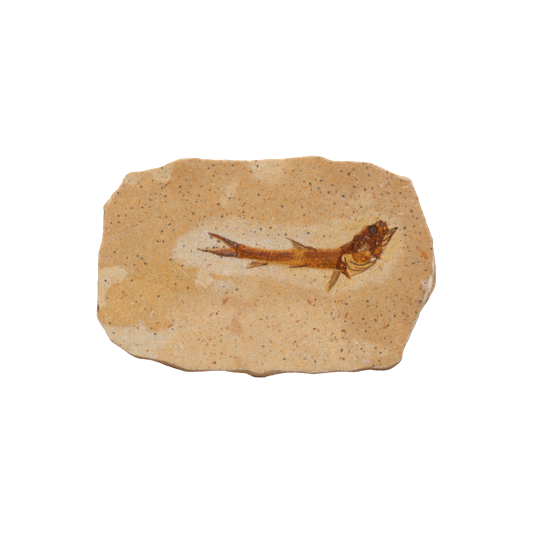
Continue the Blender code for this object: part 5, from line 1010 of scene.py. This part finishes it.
def smoothed(verts, faces, weight, rounds):
    """Moves each point towards the middle of its neighbours, by its own weight."""
    first, second = edges_of(faces, len(verts))
    degree = np.bincount(first, minlength=len(verts)) + np.bincount(second, minlength=len(verts))
    for _ in range(rounds):
        middle = np.empty_like(verts)
        for axis in range(3):
            total = np.bincount(first, verts[second, axis], len(verts))
            total += np.bincount(second, verts[first, axis], len(verts))
            middle[:, axis] = total / degree
        verts = verts + (middle - verts) * weight[:, None]
    return verts


def normals_of(verts, faces):
    """The direction that the surface faces at each point."""
    a, b, c = (verts[faces[:, corner]] for corner in range(3))
    across = np.cross(b - a, c - a)
    normals = np.empty_like(verts)
    for axis in range(3):
        shares = [np.bincount(faces[:, corner], across[:, axis], len(verts)) for corner in range(3)]
        normals[:, axis] = sum(shares)
    return normals / np.linalg.norm(normals, axis=1)[:, None]


def node_triangles(node):
    """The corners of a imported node, in millimetres, and its triangles, with equal corners joined."""
    shape = bmesh.new()
    shape.from_mesh(node.data)
    bmesh.ops.remove_doubles(shape, verts=shape.verts, dist=0.001 * MM)
    bmesh.ops.triangulate(shape, faces=shape.faces)
    verts = np.array([vert.co for vert in shape.verts]) / MM
    faces = np.array([[vert.index for vert in face.verts] for face in shape.faces])
    shape.free()
    return verts, faces


def wanted_edge(middles, shift):
    """How long an edge may be at each place on the stone."""
    plan = middles[:, :2] + shift
    length = np.full(len(middles), FACE_EDGE)
    length[middles[:, 2] < FACE_LOW] = SIDE_EDGE
    length[middles[:, 2] < BASE_HIGH] = BASE_EDGE
    face = np.flatnonzero(middles[:, 2] >= FACE_LOW)
    depth = depth_in_fish(plan[face])
    length[face[(depth > BESIDE_FISH[0]) & (depth < BESIDE_FISH[1])]] = FISH_EDGE
    return length


def lamina_number(verts):
    """Which of the thin layers each point of the stone is on."""
    wave = LAMINA_WAVE * rough(verts[:, :2], LAMINA_WAVE_LENGTH, 2.2)
    return np.searchsorted(LAMINAE, verts[:, 2] + wave)


def lamina_recess(verts):
    """How far each point of the broken sides is set in, layer by layer."""
    places = np.column_stack([verts[:, :2] / LAMINA_LENGTH, lamina_number(verts) * 3.71])
    step = np.array([noise.noise(place) for place in places.tolist()])
    grain = rough(verts, 1.4, 7.0)
    return LAMINA_STEP * np.clip(step + 0.3, 0.0, 1.0) + SIDE_GRAIN * np.clip(grain, 0.0, 1.0)


def face_relief(plan):
    """Small rise and fall of the split face: grain, and thin layers that ended in steps."""
    grain = 0.03 * rough(plan, 1.3, 1.1) + 0.02 * rough(plan, 0.7, 8.8)
    field = rough(plan, 15.0, 6.6) + 0.25 * rough(plan, 3.0, 3.9)
    step = ease((field - 0.12) / 0.03) + ease((field + 0.18) / 0.03)
    return grain - 0.05 * step


def stone_surface(node, shift):
    """Points and triangles of the finely broken stone."""
    verts, faces = node_triangles(node)
    box_low, box_high = verts.min(axis=0), verts.max(axis=0)
    verts, faces = refined(verts, faces, lambda middles: wanted_edge(middles, shift))
    normals = normals_of(verts, faces)
    flat = (verts[:, 2] > FACE_LOW) & (normals[:, 2] > FACE_UP)
    weight, rounds = FACE_SMOOTHING
    verts = smoothed(verts, faces, weight * flat, rounds)
    weight, rounds = EDGE_SMOOTHING
    verts = smoothed(verts, faces, weight * (verts[:, 2] > BASE_HIGH), rounds)
    normals = normals_of(verts, faces)
    side = ease((SIDE_TURN[0] - np.abs(normals[:, 2])) / (SIDE_TURN[0] - SIDE_TURN[1]))
    outward = normals[:, :2] / np.maximum(np.linalg.norm(normals[:, :2], axis=1), 0.001)[:, None]
    verts[:, :2] -= outward * (side * (lamina_recess(verts) - SIDE_SWELL))[:, None]
    face = (1.0 - side) * (verts[:, 2] > FACE_LOW) * (normals[:, 2] > 0.0)
    verts[:, 2] += face * face_relief(verts[:, :2] + shift)
    low = (verts[:, 2] < BASE_GRAIN_HIGH) & (normals[:, 2] < -0.5)
    verts[low, 2] += BASE_GRAIN * np.clip(rough(verts[low], 2.6, 5.0), 0.0, 1.0)
    return np.clip(verts, box_low, box_high), faces


def rim_distance(verts, normals):
    """How far each point is from the broken edge of the face it lies on."""
    tree = kdtree.KDTree(len(verts))
    for index in np.flatnonzero(np.abs(normals[:, 2]) < FACE_UP):
        tree.insert(verts[index], index)
    tree.balance()
    return np.array([tree.find(vert)[2] for vert in verts.tolist()])


def side_colour(verts, normals, face_colour):
    """The colour of the broken sides: the layers in bands, browner low down and along the front."""
    upper = FACE_COLOUR_SHARE * ease((verts[:, 2] - FACE_COLOUR_LOW) / FACE_COLOUR_RISE)
    colour = blended(np.array(SIDE_STONE), face_colour, upper)
    band = np.array([noise.noise((0.0, 0.0, number * 1.37)) for number in range(len(LAMINAE) + 1)])
    tone = 1.0 + 0.26 * band[lamina_number(verts)]
    tone += 0.12 * rough(verts, 3.0, 2.0) + 0.1 * rough(verts, 0.9, 4.0)
    colour = colour * (1.0 + (tone - 1.0) * (1.0 - 0.6 * upper))[:, None]
    front = ease(-0.1 - 1.4 * normals[:, 1]) * ease((-verts[:, 1] - FRONT_START) / FRONT_FADE)
    colour = blended(colour, np.array(FRONT_BROWN) * tone[:, None], 0.95 * front)
    brown = ease((BROWN_HIGH + 1.4 * front - verts[:, 2]) / BROWN_FADE)
    brown *= ease(0.8 + rough(verts[:, :2], 9.0, 8.0)) * (normals[:, 2] > -FACE_UP)
    return blended(colour, SIDE_BROWN, 0.92 * brown)


def stone_colour(verts, normals, shift):
    """The colour and the gloss of the stone at each of its points."""
    canvas = Canvas(verts[:, :2] + shift)
    paint_stone(canvas)
    paint_fish(canvas)
    face = ease((normals[:, 2] - 0.4) / 0.3) * (verts[:, 2] > SLOPE_LOW)
    colour = blended(side_colour(verts, normals, canvas.colour), canvas.colour, face)
    distance = rim_distance(verts, normals)
    # A pale band along the rim: bare chipped stone, partly a painted highlight on the broken edge.
    pale = ease(1.3 - distance / PALE_RIM_AND_HIGHLIGHT) * ease(0.75 + 1.1 * rough(verts, 2.4, 6.0)) * face
    return blended(colour, CREAM_EDGE_AND_HIGHLIGHT, 0.9 * pale), canvas.gloss * face


def speck_mark(draw, colour, amount, place, width, stretch):
    """One speck, as a mark: centre, half length, half width, turn, colour and amount."""
    long = 0.5 * width * draw.uniform(0.9, stretch)
    short = 0.5 * width * draw.uniform(0.7, 1.05)
    return (place, long, short, draw.uniform(0.0, math.pi), colour, amount)


def scattered(draw, marks, fields, stretch):
    """Adds specks at random to the marks, each clear of all the others, some of them in loose groups."""
    for colour, count, widths, amounts, low, high in fields:
        place = low
        for _ in range(count):
            if draw.random() < GROUPED:
                place = (place[0] + draw.gauss(0.0, GROUP_SPREAD), place[1] + draw.gauss(0.0, GROUP_SPREAD))
            else:
                place = (draw.uniform(low[0], high[0]), draw.uniform(low[1], high[1]))
            mark = speck_mark(draw, colour, draw.uniform(*amounts), place, draw.uniform(*widths), stretch)
            if all(math.dist(place, other[0]) > MARK_GAP + mark[1] + other[1] for other in marks):
                marks.append(mark)
    return marks


def speck_marks():
    """Every dark mineral speck."""
    draw = random.Random(SPECK_SEED)
    listed = [speck_mark(draw, SPECK, 0.85, (x, y), 0.75 * width, 1.2) for x, y, width in SPECKS]
    return scattered(draw, listed, SPECK_FIELDS, 1.2)


def fleck_marks():
    """Every rusty or chalky fleck."""
    return scattered(random.Random(SPECK_SEED + 1), [], FLECK_FIELDS, 1.8)


def streak_marks():
    """Every streak, as a mark: centre, half length, half width, turn, colour and amount."""
    marks = []
    for colour, amount, half, start, end in STREAKS:
        step = np.array(end) - np.array(start)
        length = np.linalg.norm(step) / 2.0 + half
        centre = (np.array(start) + np.array(end)) / 2.0
        marks.append((tuple(centre), length, half, math.atan2(step[1], step[0]), colour, amount))
    return marks


def mark_places(plan, marks):
    """For each point near a mark, its place within the mark, its distance from it, and the mark's tint."""
    place = np.full((len(plan), 3), FAR_AWAY)
    tint = np.zeros((len(plan), 4))
    best = np.full(len(plan), MARK_REACH)
    for centre, long, short, turn, colour, amount in marks:
        held = near(plan, [centre], long + MARK_REACH)
        away = plan[held] - np.array(centre)
        along = away @ np.array([math.cos(turn), math.sin(turn)])
        across = away @ np.array([-math.sin(turn), math.cos(turn)])
        beyond = np.hypot(np.maximum(np.abs(along) - long, 0.0), np.maximum(np.abs(across) - short, 0.0))
        nearer = beyond < best[held]
        chosen = held[nearer]
        best[chosen] = beyond[nearer]
        place[chosen] = np.column_stack([along / long, across / short, beyond])[nearer]
        tint[chosen, :3] = colour
        tint[chosen, 3] = amount
    return place, tint


def write_attribute(mesh, name, kind, values):
    """Stores one value for each point of the mesh."""
    field = {"FLOAT": "value", "FLOAT_VECTOR": "vector", "FLOAT_COLOR": "color"}[kind]
    attribute = mesh.attributes.new(name, kind, "POINT")
    attribute.data.foreach_set(field, np.ascontiguousarray(values, dtype=np.float32).ravel())


def write_paint(mesh, colour, gloss):
    """Stores the painted colour and gloss on the points of the mesh."""
    opaque = np.column_stack([np.clip(colour, 0.0, 1.0), np.ones(len(colour))])
    write_attribute(mesh, "paint", "FLOAT_COLOR", opaque)
    write_attribute(mesh, "gloss", "FLOAT", gloss)


def make_piece(name, verts, faces, material):
    """One named mesh, from points in millimetres."""
    mesh = bpy.data.meshes.new(name)
    mesh.vertices.add(len(verts))
    mesh.vertices.foreach_set("co", (verts * MM).astype(np.float32).ravel())
    mesh.loops.add(3 * len(faces))
    mesh.loops.foreach_set("vertex_index", faces.astype(np.int32).ravel())
    mesh.polygons.add(len(faces))
    mesh.polygons.foreach_set("loop_start", np.arange(0, 3 * len(faces), 3, dtype=np.int32))
    mesh.update(calc_edges=True)
    mesh.validate()
    mesh.shade_smooth()
    mesh.materials.append(material)
    piece = bpy.data.objects.new(name, mesh)
    bpy.context.scene.collection.objects.link(piece)
    return piece


class Nodes:
    """Adds shader nodes to a material and joins them."""

    def __init__(self, material):
        self.tree = material.node_tree

    def add(self, kind, inputs, **settings):
        """Makes one node. Each input is given a value or is joined to another node's output."""
        node = self.tree.nodes.new(kind)
        for name, value in settings.items():
            setattr(node, name, value)
        for key, value in inputs.items():
            if isinstance(value, bpy.types.NodeSocket):
                self.tree.links.new(value, node.inputs[key])
            else:
                node.inputs[key].default_value = value
        return node

    def math(self, operation, first, second):
        """One sum on two values."""
        return self.add("ShaderNodeMath", {0: first, 1: second}, operation=operation).outputs[0]

    def vector(self, operation, first, second):
        """One sum on a vector and a second vector, or for SCALE on a vector and a value."""
        inputs = {0: first, "Scale" if operation == "SCALE" else 1: second}
        return self.add("ShaderNodeVectorMath", inputs, operation=operation).outputs[0]

    def ramp(self, value, low, high, to_low=0.0, to_high=1.0):
        """A smooth change from one value to another between two places."""
        inputs = {"Value": value, "From Min": low, "From Max": high, "To Min": to_low, "To Max": to_high}
        return self.add("ShaderNodeMapRange", inputs, interpolation_type="SMOOTHSTEP").outputs[0]

    def mix(self, share, first, second, way="MIX"):
        """A mix of two colours."""
        inputs = {0: share, 6: first, 7: second}
        return self.add("ShaderNodeMix", inputs, data_type="RGBA", blend_type=way).outputs[2]

    def noise(self, places, scale, detail, roughness=0.5):
        """Smooth noise, as many lumps to the millimetre as the scale says."""
        inputs = {"Vector": places, "Scale": scale, "Detail": detail, "Roughness": roughness}
        return self.add("ShaderNodeTexNoise", inputs)

    def attribute(self, name, output):
        """A value stored on the points of the mesh."""
        return self.add("ShaderNodeAttribute", {}, attribute_name=name).outputs[output]

    def finish(self, shader, colour, roughness, specular, height):
        """Joins the colour, the roughness and a fine bump to the shader."""
        bump = self.add("ShaderNodeBump", {"Strength": BUMP_STRENGTH, "Distance": BUMP, "Height": height})
        for name, value in (("Base Color", colour), ("Roughness", roughness), ("Normal", bump.outputs[0])):
            self.tree.links.new(value, shader.inputs[name])
        shader.inputs["Specular IOR Level"].default_value = specular


def millimetres(nodes):
    """The piece's own coordinates in millimetres."""
    places = nodes.add("ShaderNodeTexCoord", {}).outputs["Object"]
    return nodes.vector("SCALE", places, 1.0 / MM)


def overlaid(nodes, places, colour, name):
    """The colour with one set of marks over it, each with a ragged border."""
    place = nodes.attribute(name + "_place", "Vector")
    beyond = nodes.add("ShaderNodeSeparateXYZ", {0: place}).outputs["Z"]
    spot = nodes.vector("MULTIPLY", place, (1.0, 1.0, 0.0))
    ragged = nodes.noise(places, 2.6, 2.0).outputs["Color"]
    shake = nodes.vector("SCALE", nodes.vector("SUBTRACT", ragged, (0.5, 0.5, 0.5)), MARK_SHAKE)
    spot = nodes.vector("ADD", spot, shake)
    away = nodes.add("ShaderNodeVectorMath", {0: spot}, operation="LENGTH").outputs["Value"]
    share = nodes.math("MULTIPLY", nodes.ramp(away, *MARK_FADE), nodes.ramp(beyond, *MARK_CUT))
    share = nodes.math("MULTIPLY", share, nodes.attribute(name + "_tint", "Alpha"))
    return nodes.mix(share, colour, nodes.attribute(name + "_tint", "Color"))


def patched(nodes, places, colour):
    """The colour with the patches of the top layers over it, each with a crisp, ragged border."""
    ragged = nodes.ramp(nodes.noise(places, 1.0, 5.0, 0.65).outputs[0], 0.25, 0.75, -0.6, 0.6)
    depth = nodes.math("ADD", nodes.attribute("patch_depth", "Fac"), ragged)
    share = nodes.math("MULTIPLY", nodes.ramp(depth, -0.12, 0.12), nodes.attribute("patch_tint", "Alpha"))
    return nodes.mix(share, colour, nodes.attribute("patch_tint", "Color"))


def stone_grain(nodes, places, colour):
    """The stone's colour with its mottle, pale grains and rusty grains."""
    broad = nodes.ramp(nodes.noise(places, 0.5, 4.0, 0.65).outputs[0], 0.36, 0.64)
    tone = nodes.mix(broad, *BROAD_TONES)
    colour = nodes.mix(1.0, colour, tone, "MULTIPLY")
    fine = nodes.ramp(nodes.noise(places, 2.2, 3.0, 0.6).outputs[0], 0.3, 0.7)
    tone = nodes.mix(fine, *FINE_TONES)
    colour = nodes.mix(1.0, colour, tone, "MULTIPLY")
    rusty = nodes.ramp(nodes.noise(places, 1.2, 3.0, 0.6).outputs[0], 0.62, 0.73, 0.0, 0.5)
    colour = nodes.mix(rusty, colour, (*STAIN_RED, 1.0))
    chalky = nodes.ramp(nodes.noise(places, 1.55, 3.0, 0.6).outputs[0], 0.36, 0.27, 0.0, 0.45)
    return nodes.mix(chalky, colour, (*CHALK, 1.0))


def new_material(name):
    """An empty material with its shader."""
    material = bpy.data.materials.new(name)
    material.use_nodes = True
    return material, Nodes(material), material.node_tree.nodes["Principled BSDF"]


def limestone():
    """Matte split limestone."""
    material, nodes, shader = new_material("split limestone")
    places = millimetres(nodes)
    colour = patched(nodes, places, nodes.attribute("paint", "Color"))
    colour = stone_grain(nodes, places, colour)
    for name in ("fleck", "streak", "speck"):
        colour = overlaid(nodes, places, colour, name)
    roughness = nodes.ramp(nodes.attribute("gloss", "Fac"), 0.0, 1.0, *STONE_ROUGHNESS)
    height = nodes.noise(places, 2.4, 5.0, 0.65).outputs[0]
    nodes.finish(shader, colour, roughness, STONE_SPECULAR, height)
    return material


def fossil_bone():
    """Glossy mineralised bone, which fades into bare stone at its border."""
    material, nodes, shader = new_material("fossil bone")
    places = millimetres(nodes)
    paint = nodes.attribute("paint", "Color")
    gloss = nodes.attribute("gloss", "Fac")
    stone = stone_grain(nodes, places, paint)
    fine = nodes.ramp(nodes.noise(places, 2.8, 4.0, 0.65).outputs[0], 0.3, 0.7)
    tone = nodes.mix(fine, *BONE_TONES)
    bone = nodes.mix(1.0, paint, tone, "MULTIPLY")
    colour = nodes.mix(nodes.ramp(gloss, 0.0, 0.5), stone, bone)
    patchy = nodes.ramp(nodes.noise(places, 1.6, 3.0).outputs[0], 0.3, 0.7, 0.0, 0.2)
    roughness = nodes.math("ADD", nodes.ramp(gloss, 0.0, 0.9, *BONE_ROUGHNESS), patchy)
    height = nodes.noise(places, 3.4, 5.0, 0.6).outputs[0]
    nodes.finish(shader, colour, roughness, BONE_SPECULAR, height)
    return material


def make_slab(node, shift):
    """The slab, with its marks stored on its points."""
    verts, faces = stone_surface(node, shift)
    normals = normals_of(verts, faces)
    piece = make_piece("slab_surface", verts, faces, limestone())
    colour, gloss = stone_colour(verts, normals, shift)
    plan = verts[:, :2] + shift
    write_paint(piece.data, colour, gloss)
    face = (verts[:, 2] > SLOPE_LOW) & (normals[:, 2] > 0.35)
    depth, tint = patch_places(plan)
    tint[~face, 3] = 0.0
    write_attribute(piece.data, "patch_depth", "FLOAT", depth)
    write_attribute(piece.data, "patch_tint", "FLOAT_COLOR", tint)
    for name, marks in (("fleck", fleck_marks()), ("streak", streak_marks()), ("speck", speck_marks())):
        place, tint = mark_places(plan, marks)
        tint[~face, 3] = 0.0
        write_attribute(piece.data, name + "_place", "FLOAT_VECTOR", place)
        write_attribute(piece.data, name + "_tint", "FLOAT_COLOR", tint)
    return piece, verts, faces


def mass_height(points, mass):
    """Height of one rounded mass at each point."""
    line, start_half, end_half, height = mass
    distance, place, length = line_distance(points, line)
    half = start_half + (end_half - start_half) * place / length
    return height * np.sqrt(np.clip(1.0 - (distance / half) ** 2, 0.0, 1.0))


def bone_relief(plan):
    """Height of the bones and rays, each a low rounded ridge."""
    relief = np.zeros(len(plan))
    for _, _, start_half, end_half, height, line in BONES + belly_rays():
        held = near(plan, line, max(start_half, end_half) + 0.3)
        distance, place, length = line_distance(plan[held], line)
        half = RIDGE_SPREAD * (start_half + (end_half - start_half) * place / length)
        relief[held] = np.maximum(relief[held], height * ease(1.0 - distance / half))
    return relief


def spot_relief(plan):
    """Height of the raised spots and of the eye's rim."""
    relief = np.zeros(len(plan))
    for _, _, radius, height, places in SPOTS:
        for place in places:
            held = near(plan, [place], radius)
            distance = np.linalg.norm(plan[held] - np.array(place), axis=1)
            relief[held] = np.maximum(relief[held], height * ease(1.0 - distance / radius))
    distance = np.linalg.norm(plan - np.array(EYE), axis=1)
    return np.maximum(relief, EYE_HEIGHT * ease(1.0 - np.abs(distance - EYE_RADIUS) / EYE_RIM))


def backbone_relief(plan):
    """Height of the backbone, which dips between two vertebrae."""
    distance, place, _ = line_distance(plan, BACKBONE)
    ridge = ease(1.0 - distance / BACKBONE_HALF)
    return BACKBONE_HEIGHT * ridge * (0.5 + 0.5 * np.cos(2.0 * math.pi * place / VERTEBRA))


def fish_relief(plan):
    """Height of the fish above the stone."""
    depth = depth_in_fish(plan)
    body = np.max([mass_height(plan, mass) for mass in MASSES], axis=0)
    body *= ease(depth / 1.2)
    crushed = 0.09 * rough(plan, 0.9, 3.0) + 0.06 * rough(plan, 0.45, 5.0)
    crushed *= ease(body / 0.3)
    raised = np.maximum(bone_relief(plan), spot_relief(plan))
    raised = np.maximum(raised, backbone_relief(plan)) * ease((depth + 0.1) / 0.3)
    film = -BURIED + (FILM + BURIED) * ease((depth + MARGIN) / (MARGIN + 0.12))
    return film + body + crushed + raised


def lattice_cells(low, high):
    """Lattice points over the fish's box, and the cells that its film covers."""
    xs = np.arange(low[0] - LATTICE_MARGIN, high[0] + LATTICE_MARGIN, LATTICE)
    ys = np.arange(low[1] - LATTICE_MARGIN, high[1] + LATTICE_MARGIN, LATTICE)
    grid = np.stack(np.meshgrid(xs, ys, indexing="ij"), axis=-1)
    held = (depth_in_fish(grid.reshape(-1, 2)) > -MARGIN).reshape(grid.shape[:2])
    cells = held[:-1, :-1] & held[1:, :-1] & held[:-1, 1:] & held[1:, 1:]
    while True:
        rising = cells[:-1, :-1] & cells[1:, 1:] & ~cells[1:, :-1] & ~cells[:-1, 1:]
        falling = cells[1:, :-1] & cells[:-1, 1:] & ~cells[:-1, :-1] & ~cells[1:, 1:]
        if not rising.any() and not falling.any():
            return grid, cells
        cells[1:, :-1] |= rising
        cells[:-1, :-1] |= falling


def lattice_faces(grid, cells):
    """Points and triangles of the covered cells."""
    rows, columns = np.nonzero(cells)
    width = grid.shape[1]
    a = rows * width + columns
    b, c, d = a + width, a + width + 1, a + 1
    faces = np.vstack([np.column_stack([a, b, c]), np.column_stack([a, c, d])])
    used, numbers = np.unique(faces, return_inverse=True)
    return grid.reshape(-1, 2)[used], numbers.reshape(-1, 3)


def border_of(faces, count):
    """The edges that only one triangle has, in that triangle's direction."""
    ends = face_edges(faces)
    there = ends[:, 0] * count + ends[:, 1]
    back = ends[:, 1] * count + ends[:, 0]
    return ends[~np.isin(there, back)]


def fish_base(plan, border):
    """Places and triangles of the flat base under the film, and of the wall between their borders."""
    rim = np.unique(border)
    edges = np.searchsorted(rim, border)
    low, high = plan.min(axis=0), plan.max(axis=0)
    xs, ys = np.meshgrid(np.arange(low[0], high[0], BASE_STEP), np.arange(low[1], high[1], BASE_STEP))
    dots = np.column_stack([xs.ravel(), ys.ravel()])
    dots = dots[depth_in_fish(dots) > 0.1]
    corners = [Vector(place) for place in np.vstack([plan[rim], dots])]
    flat, _, triangles, sources, _, _ = delaunay_2d_cdt(corners, edges.tolist(), [], 1, 0.0001)
    below = np.zeros(len(rim), dtype=int)
    for index, olds in enumerate(sources):
        for old in olds:
            if old < len(rim):
                below[old] = index
    flat = np.array([tuple(place) for place in flat])
    a, b = border.T
    c, d = len(plan) + below[edges.T]
    base = len(plan) + np.array(triangles)[:, ::-1]
    return flat, np.vstack([base, np.column_stack([b, a, c]), np.column_stack([b, c, d])])


def surface_heights(verts, faces, plan):
    """Height of the stone under each place of the plan."""
    tree = BVHTree.FromPolygons(verts.tolist(), faces.tolist())
    down = Vector((0.0, 0.0, -1.0))
    return np.array([tree.ray_cast(Vector((x, y, RAY_START)), down)[0].z for x, y in plan.tolist()])


def make_fish(stone_verts, stone_faces, shift):
    """The fish: a finely modelled film on the stone, closed underneath."""
    outline = np.vstack([np.array(outline) for outline in FISH_OUTLINES])
    grid, cells = lattice_cells(outline.min(axis=0), outline.max(axis=0))
    plan, faces = lattice_faces(grid, cells)
    count = len(plan)
    border = border_of(faces, count)
    flat, below = fish_base(plan, border)
    every = np.vstack([plan, flat])
    ground = surface_heights(stone_verts, stone_faces, every - shift)
    heights = ground.copy()
    heights[:count] += fish_relief(plan)
    heights[count:] -= 2.0 * BURIED
    verts = np.column_stack([every - shift, heights])
    piece = make_piece("fish_film", verts, np.vstack([faces, below]), fossil_bone())
    canvas = Canvas(every)
    paint_stone(canvas)
    paint_fish(canvas)
    write_paint(piece.data, canvas.colour, canvas.gloss)
    return piece


def make_floor():
    """A plain white floor."""
    mesh = bpy.data.meshes.new("floor")
    signs = ((-1, -1), (1, -1), (1, 1), (-1, 1))
    corners = [(x * FLOOR_HALF, y * FLOOR_HALF, -FLOOR_DROP) for x, y in signs]
    mesh.from_pydata(corners, [], [(0, 1, 2, 3)])
    material, _, shader = new_material("white floor")
    shader.inputs["Base Color"].default_value = (FLOOR_GREY, FLOOR_GREY, FLOOR_GREY, 1.0)
    shader.inputs["Roughness"].default_value = 0.9
    shader.inputs["Specular IOR Level"].default_value = 0.1
    shader.inputs["Emission Color"].default_value = (1.0, 1.0, 1.0, 1.0)
    shader.inputs["Emission Strength"].default_value = FLOOR_GLOW
    mesh.materials.append(material)
    floor = bpy.data.objects.new("floor", mesh)
    bpy.context.scene.collection.objects.link(floor)


def make_lamp(name, place, size, power):
    """A soft square lamp that shines at the stone."""
    lamp = bpy.data.lights.new(name, "AREA")
    lamp.size = size
    lamp.energy = power
    piece = bpy.data.objects.new(name, lamp)
    piece.location = place
    piece.rotation_euler = (-Vector(place)).to_track_quat("-Z", "Y").to_euler()
    bpy.context.scene.collection.objects.link(piece)


def make_light():
    """Soft light from all round, and a lamp behind the stone."""
    world = bpy.data.worlds.new("studio")
    world.use_nodes = True
    world.node_tree.nodes["Background"].inputs["Color"].default_value = (1.0, 1.0, 1.0, 1.0)
    world.node_tree.nodes["Background"].inputs["Strength"].default_value = WORLD_LIGHT
    bpy.context.scene.world = world
    make_lamp("key", KEY_PLACE, KEY_SIZE, KEY_POWER)
    bpy.context.scene.view_settings.view_transform = "Standard"


def make_camera():
    """A long lens that looks almost straight down."""
    camera = bpy.data.cameras.new("camera")
    camera.lens = SENSOR * CAMERA_DISTANCE / VIEW_WIDTH
    camera.sensor_width = SENSOR
    piece = bpy.data.objects.new("camera", camera)
    slope = math.radians(CAMERA_ELEVATION)
    back = Vector((0.0, -math.cos(slope), math.sin(slope)))
    piece.location = Vector(CAMERA_TARGET) + CAMERA_DISTANCE * back
    piece.rotation_euler = (-back).to_track_quat("-Z", "Y").to_euler()
    bpy.context.scene.collection.objects.link(piece)
    bpy.context.scene.camera = piece


def main():
    """Builds the dressed part."""
    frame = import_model()
    fish_low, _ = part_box("fish")
    shift = np.array(FISH_LOW) - np.array(fish_low.xy) / MM
    slab, stone_verts, stone_faces = make_slab(frame["nodes"]["slab"], shift)
    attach(slab, "root")
    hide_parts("slab")
    fish = make_fish(stone_verts, stone_faces, shift)
    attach(fish, "root")
    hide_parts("fish")
    make_floor()
    make_light()
    make_camera()


main()
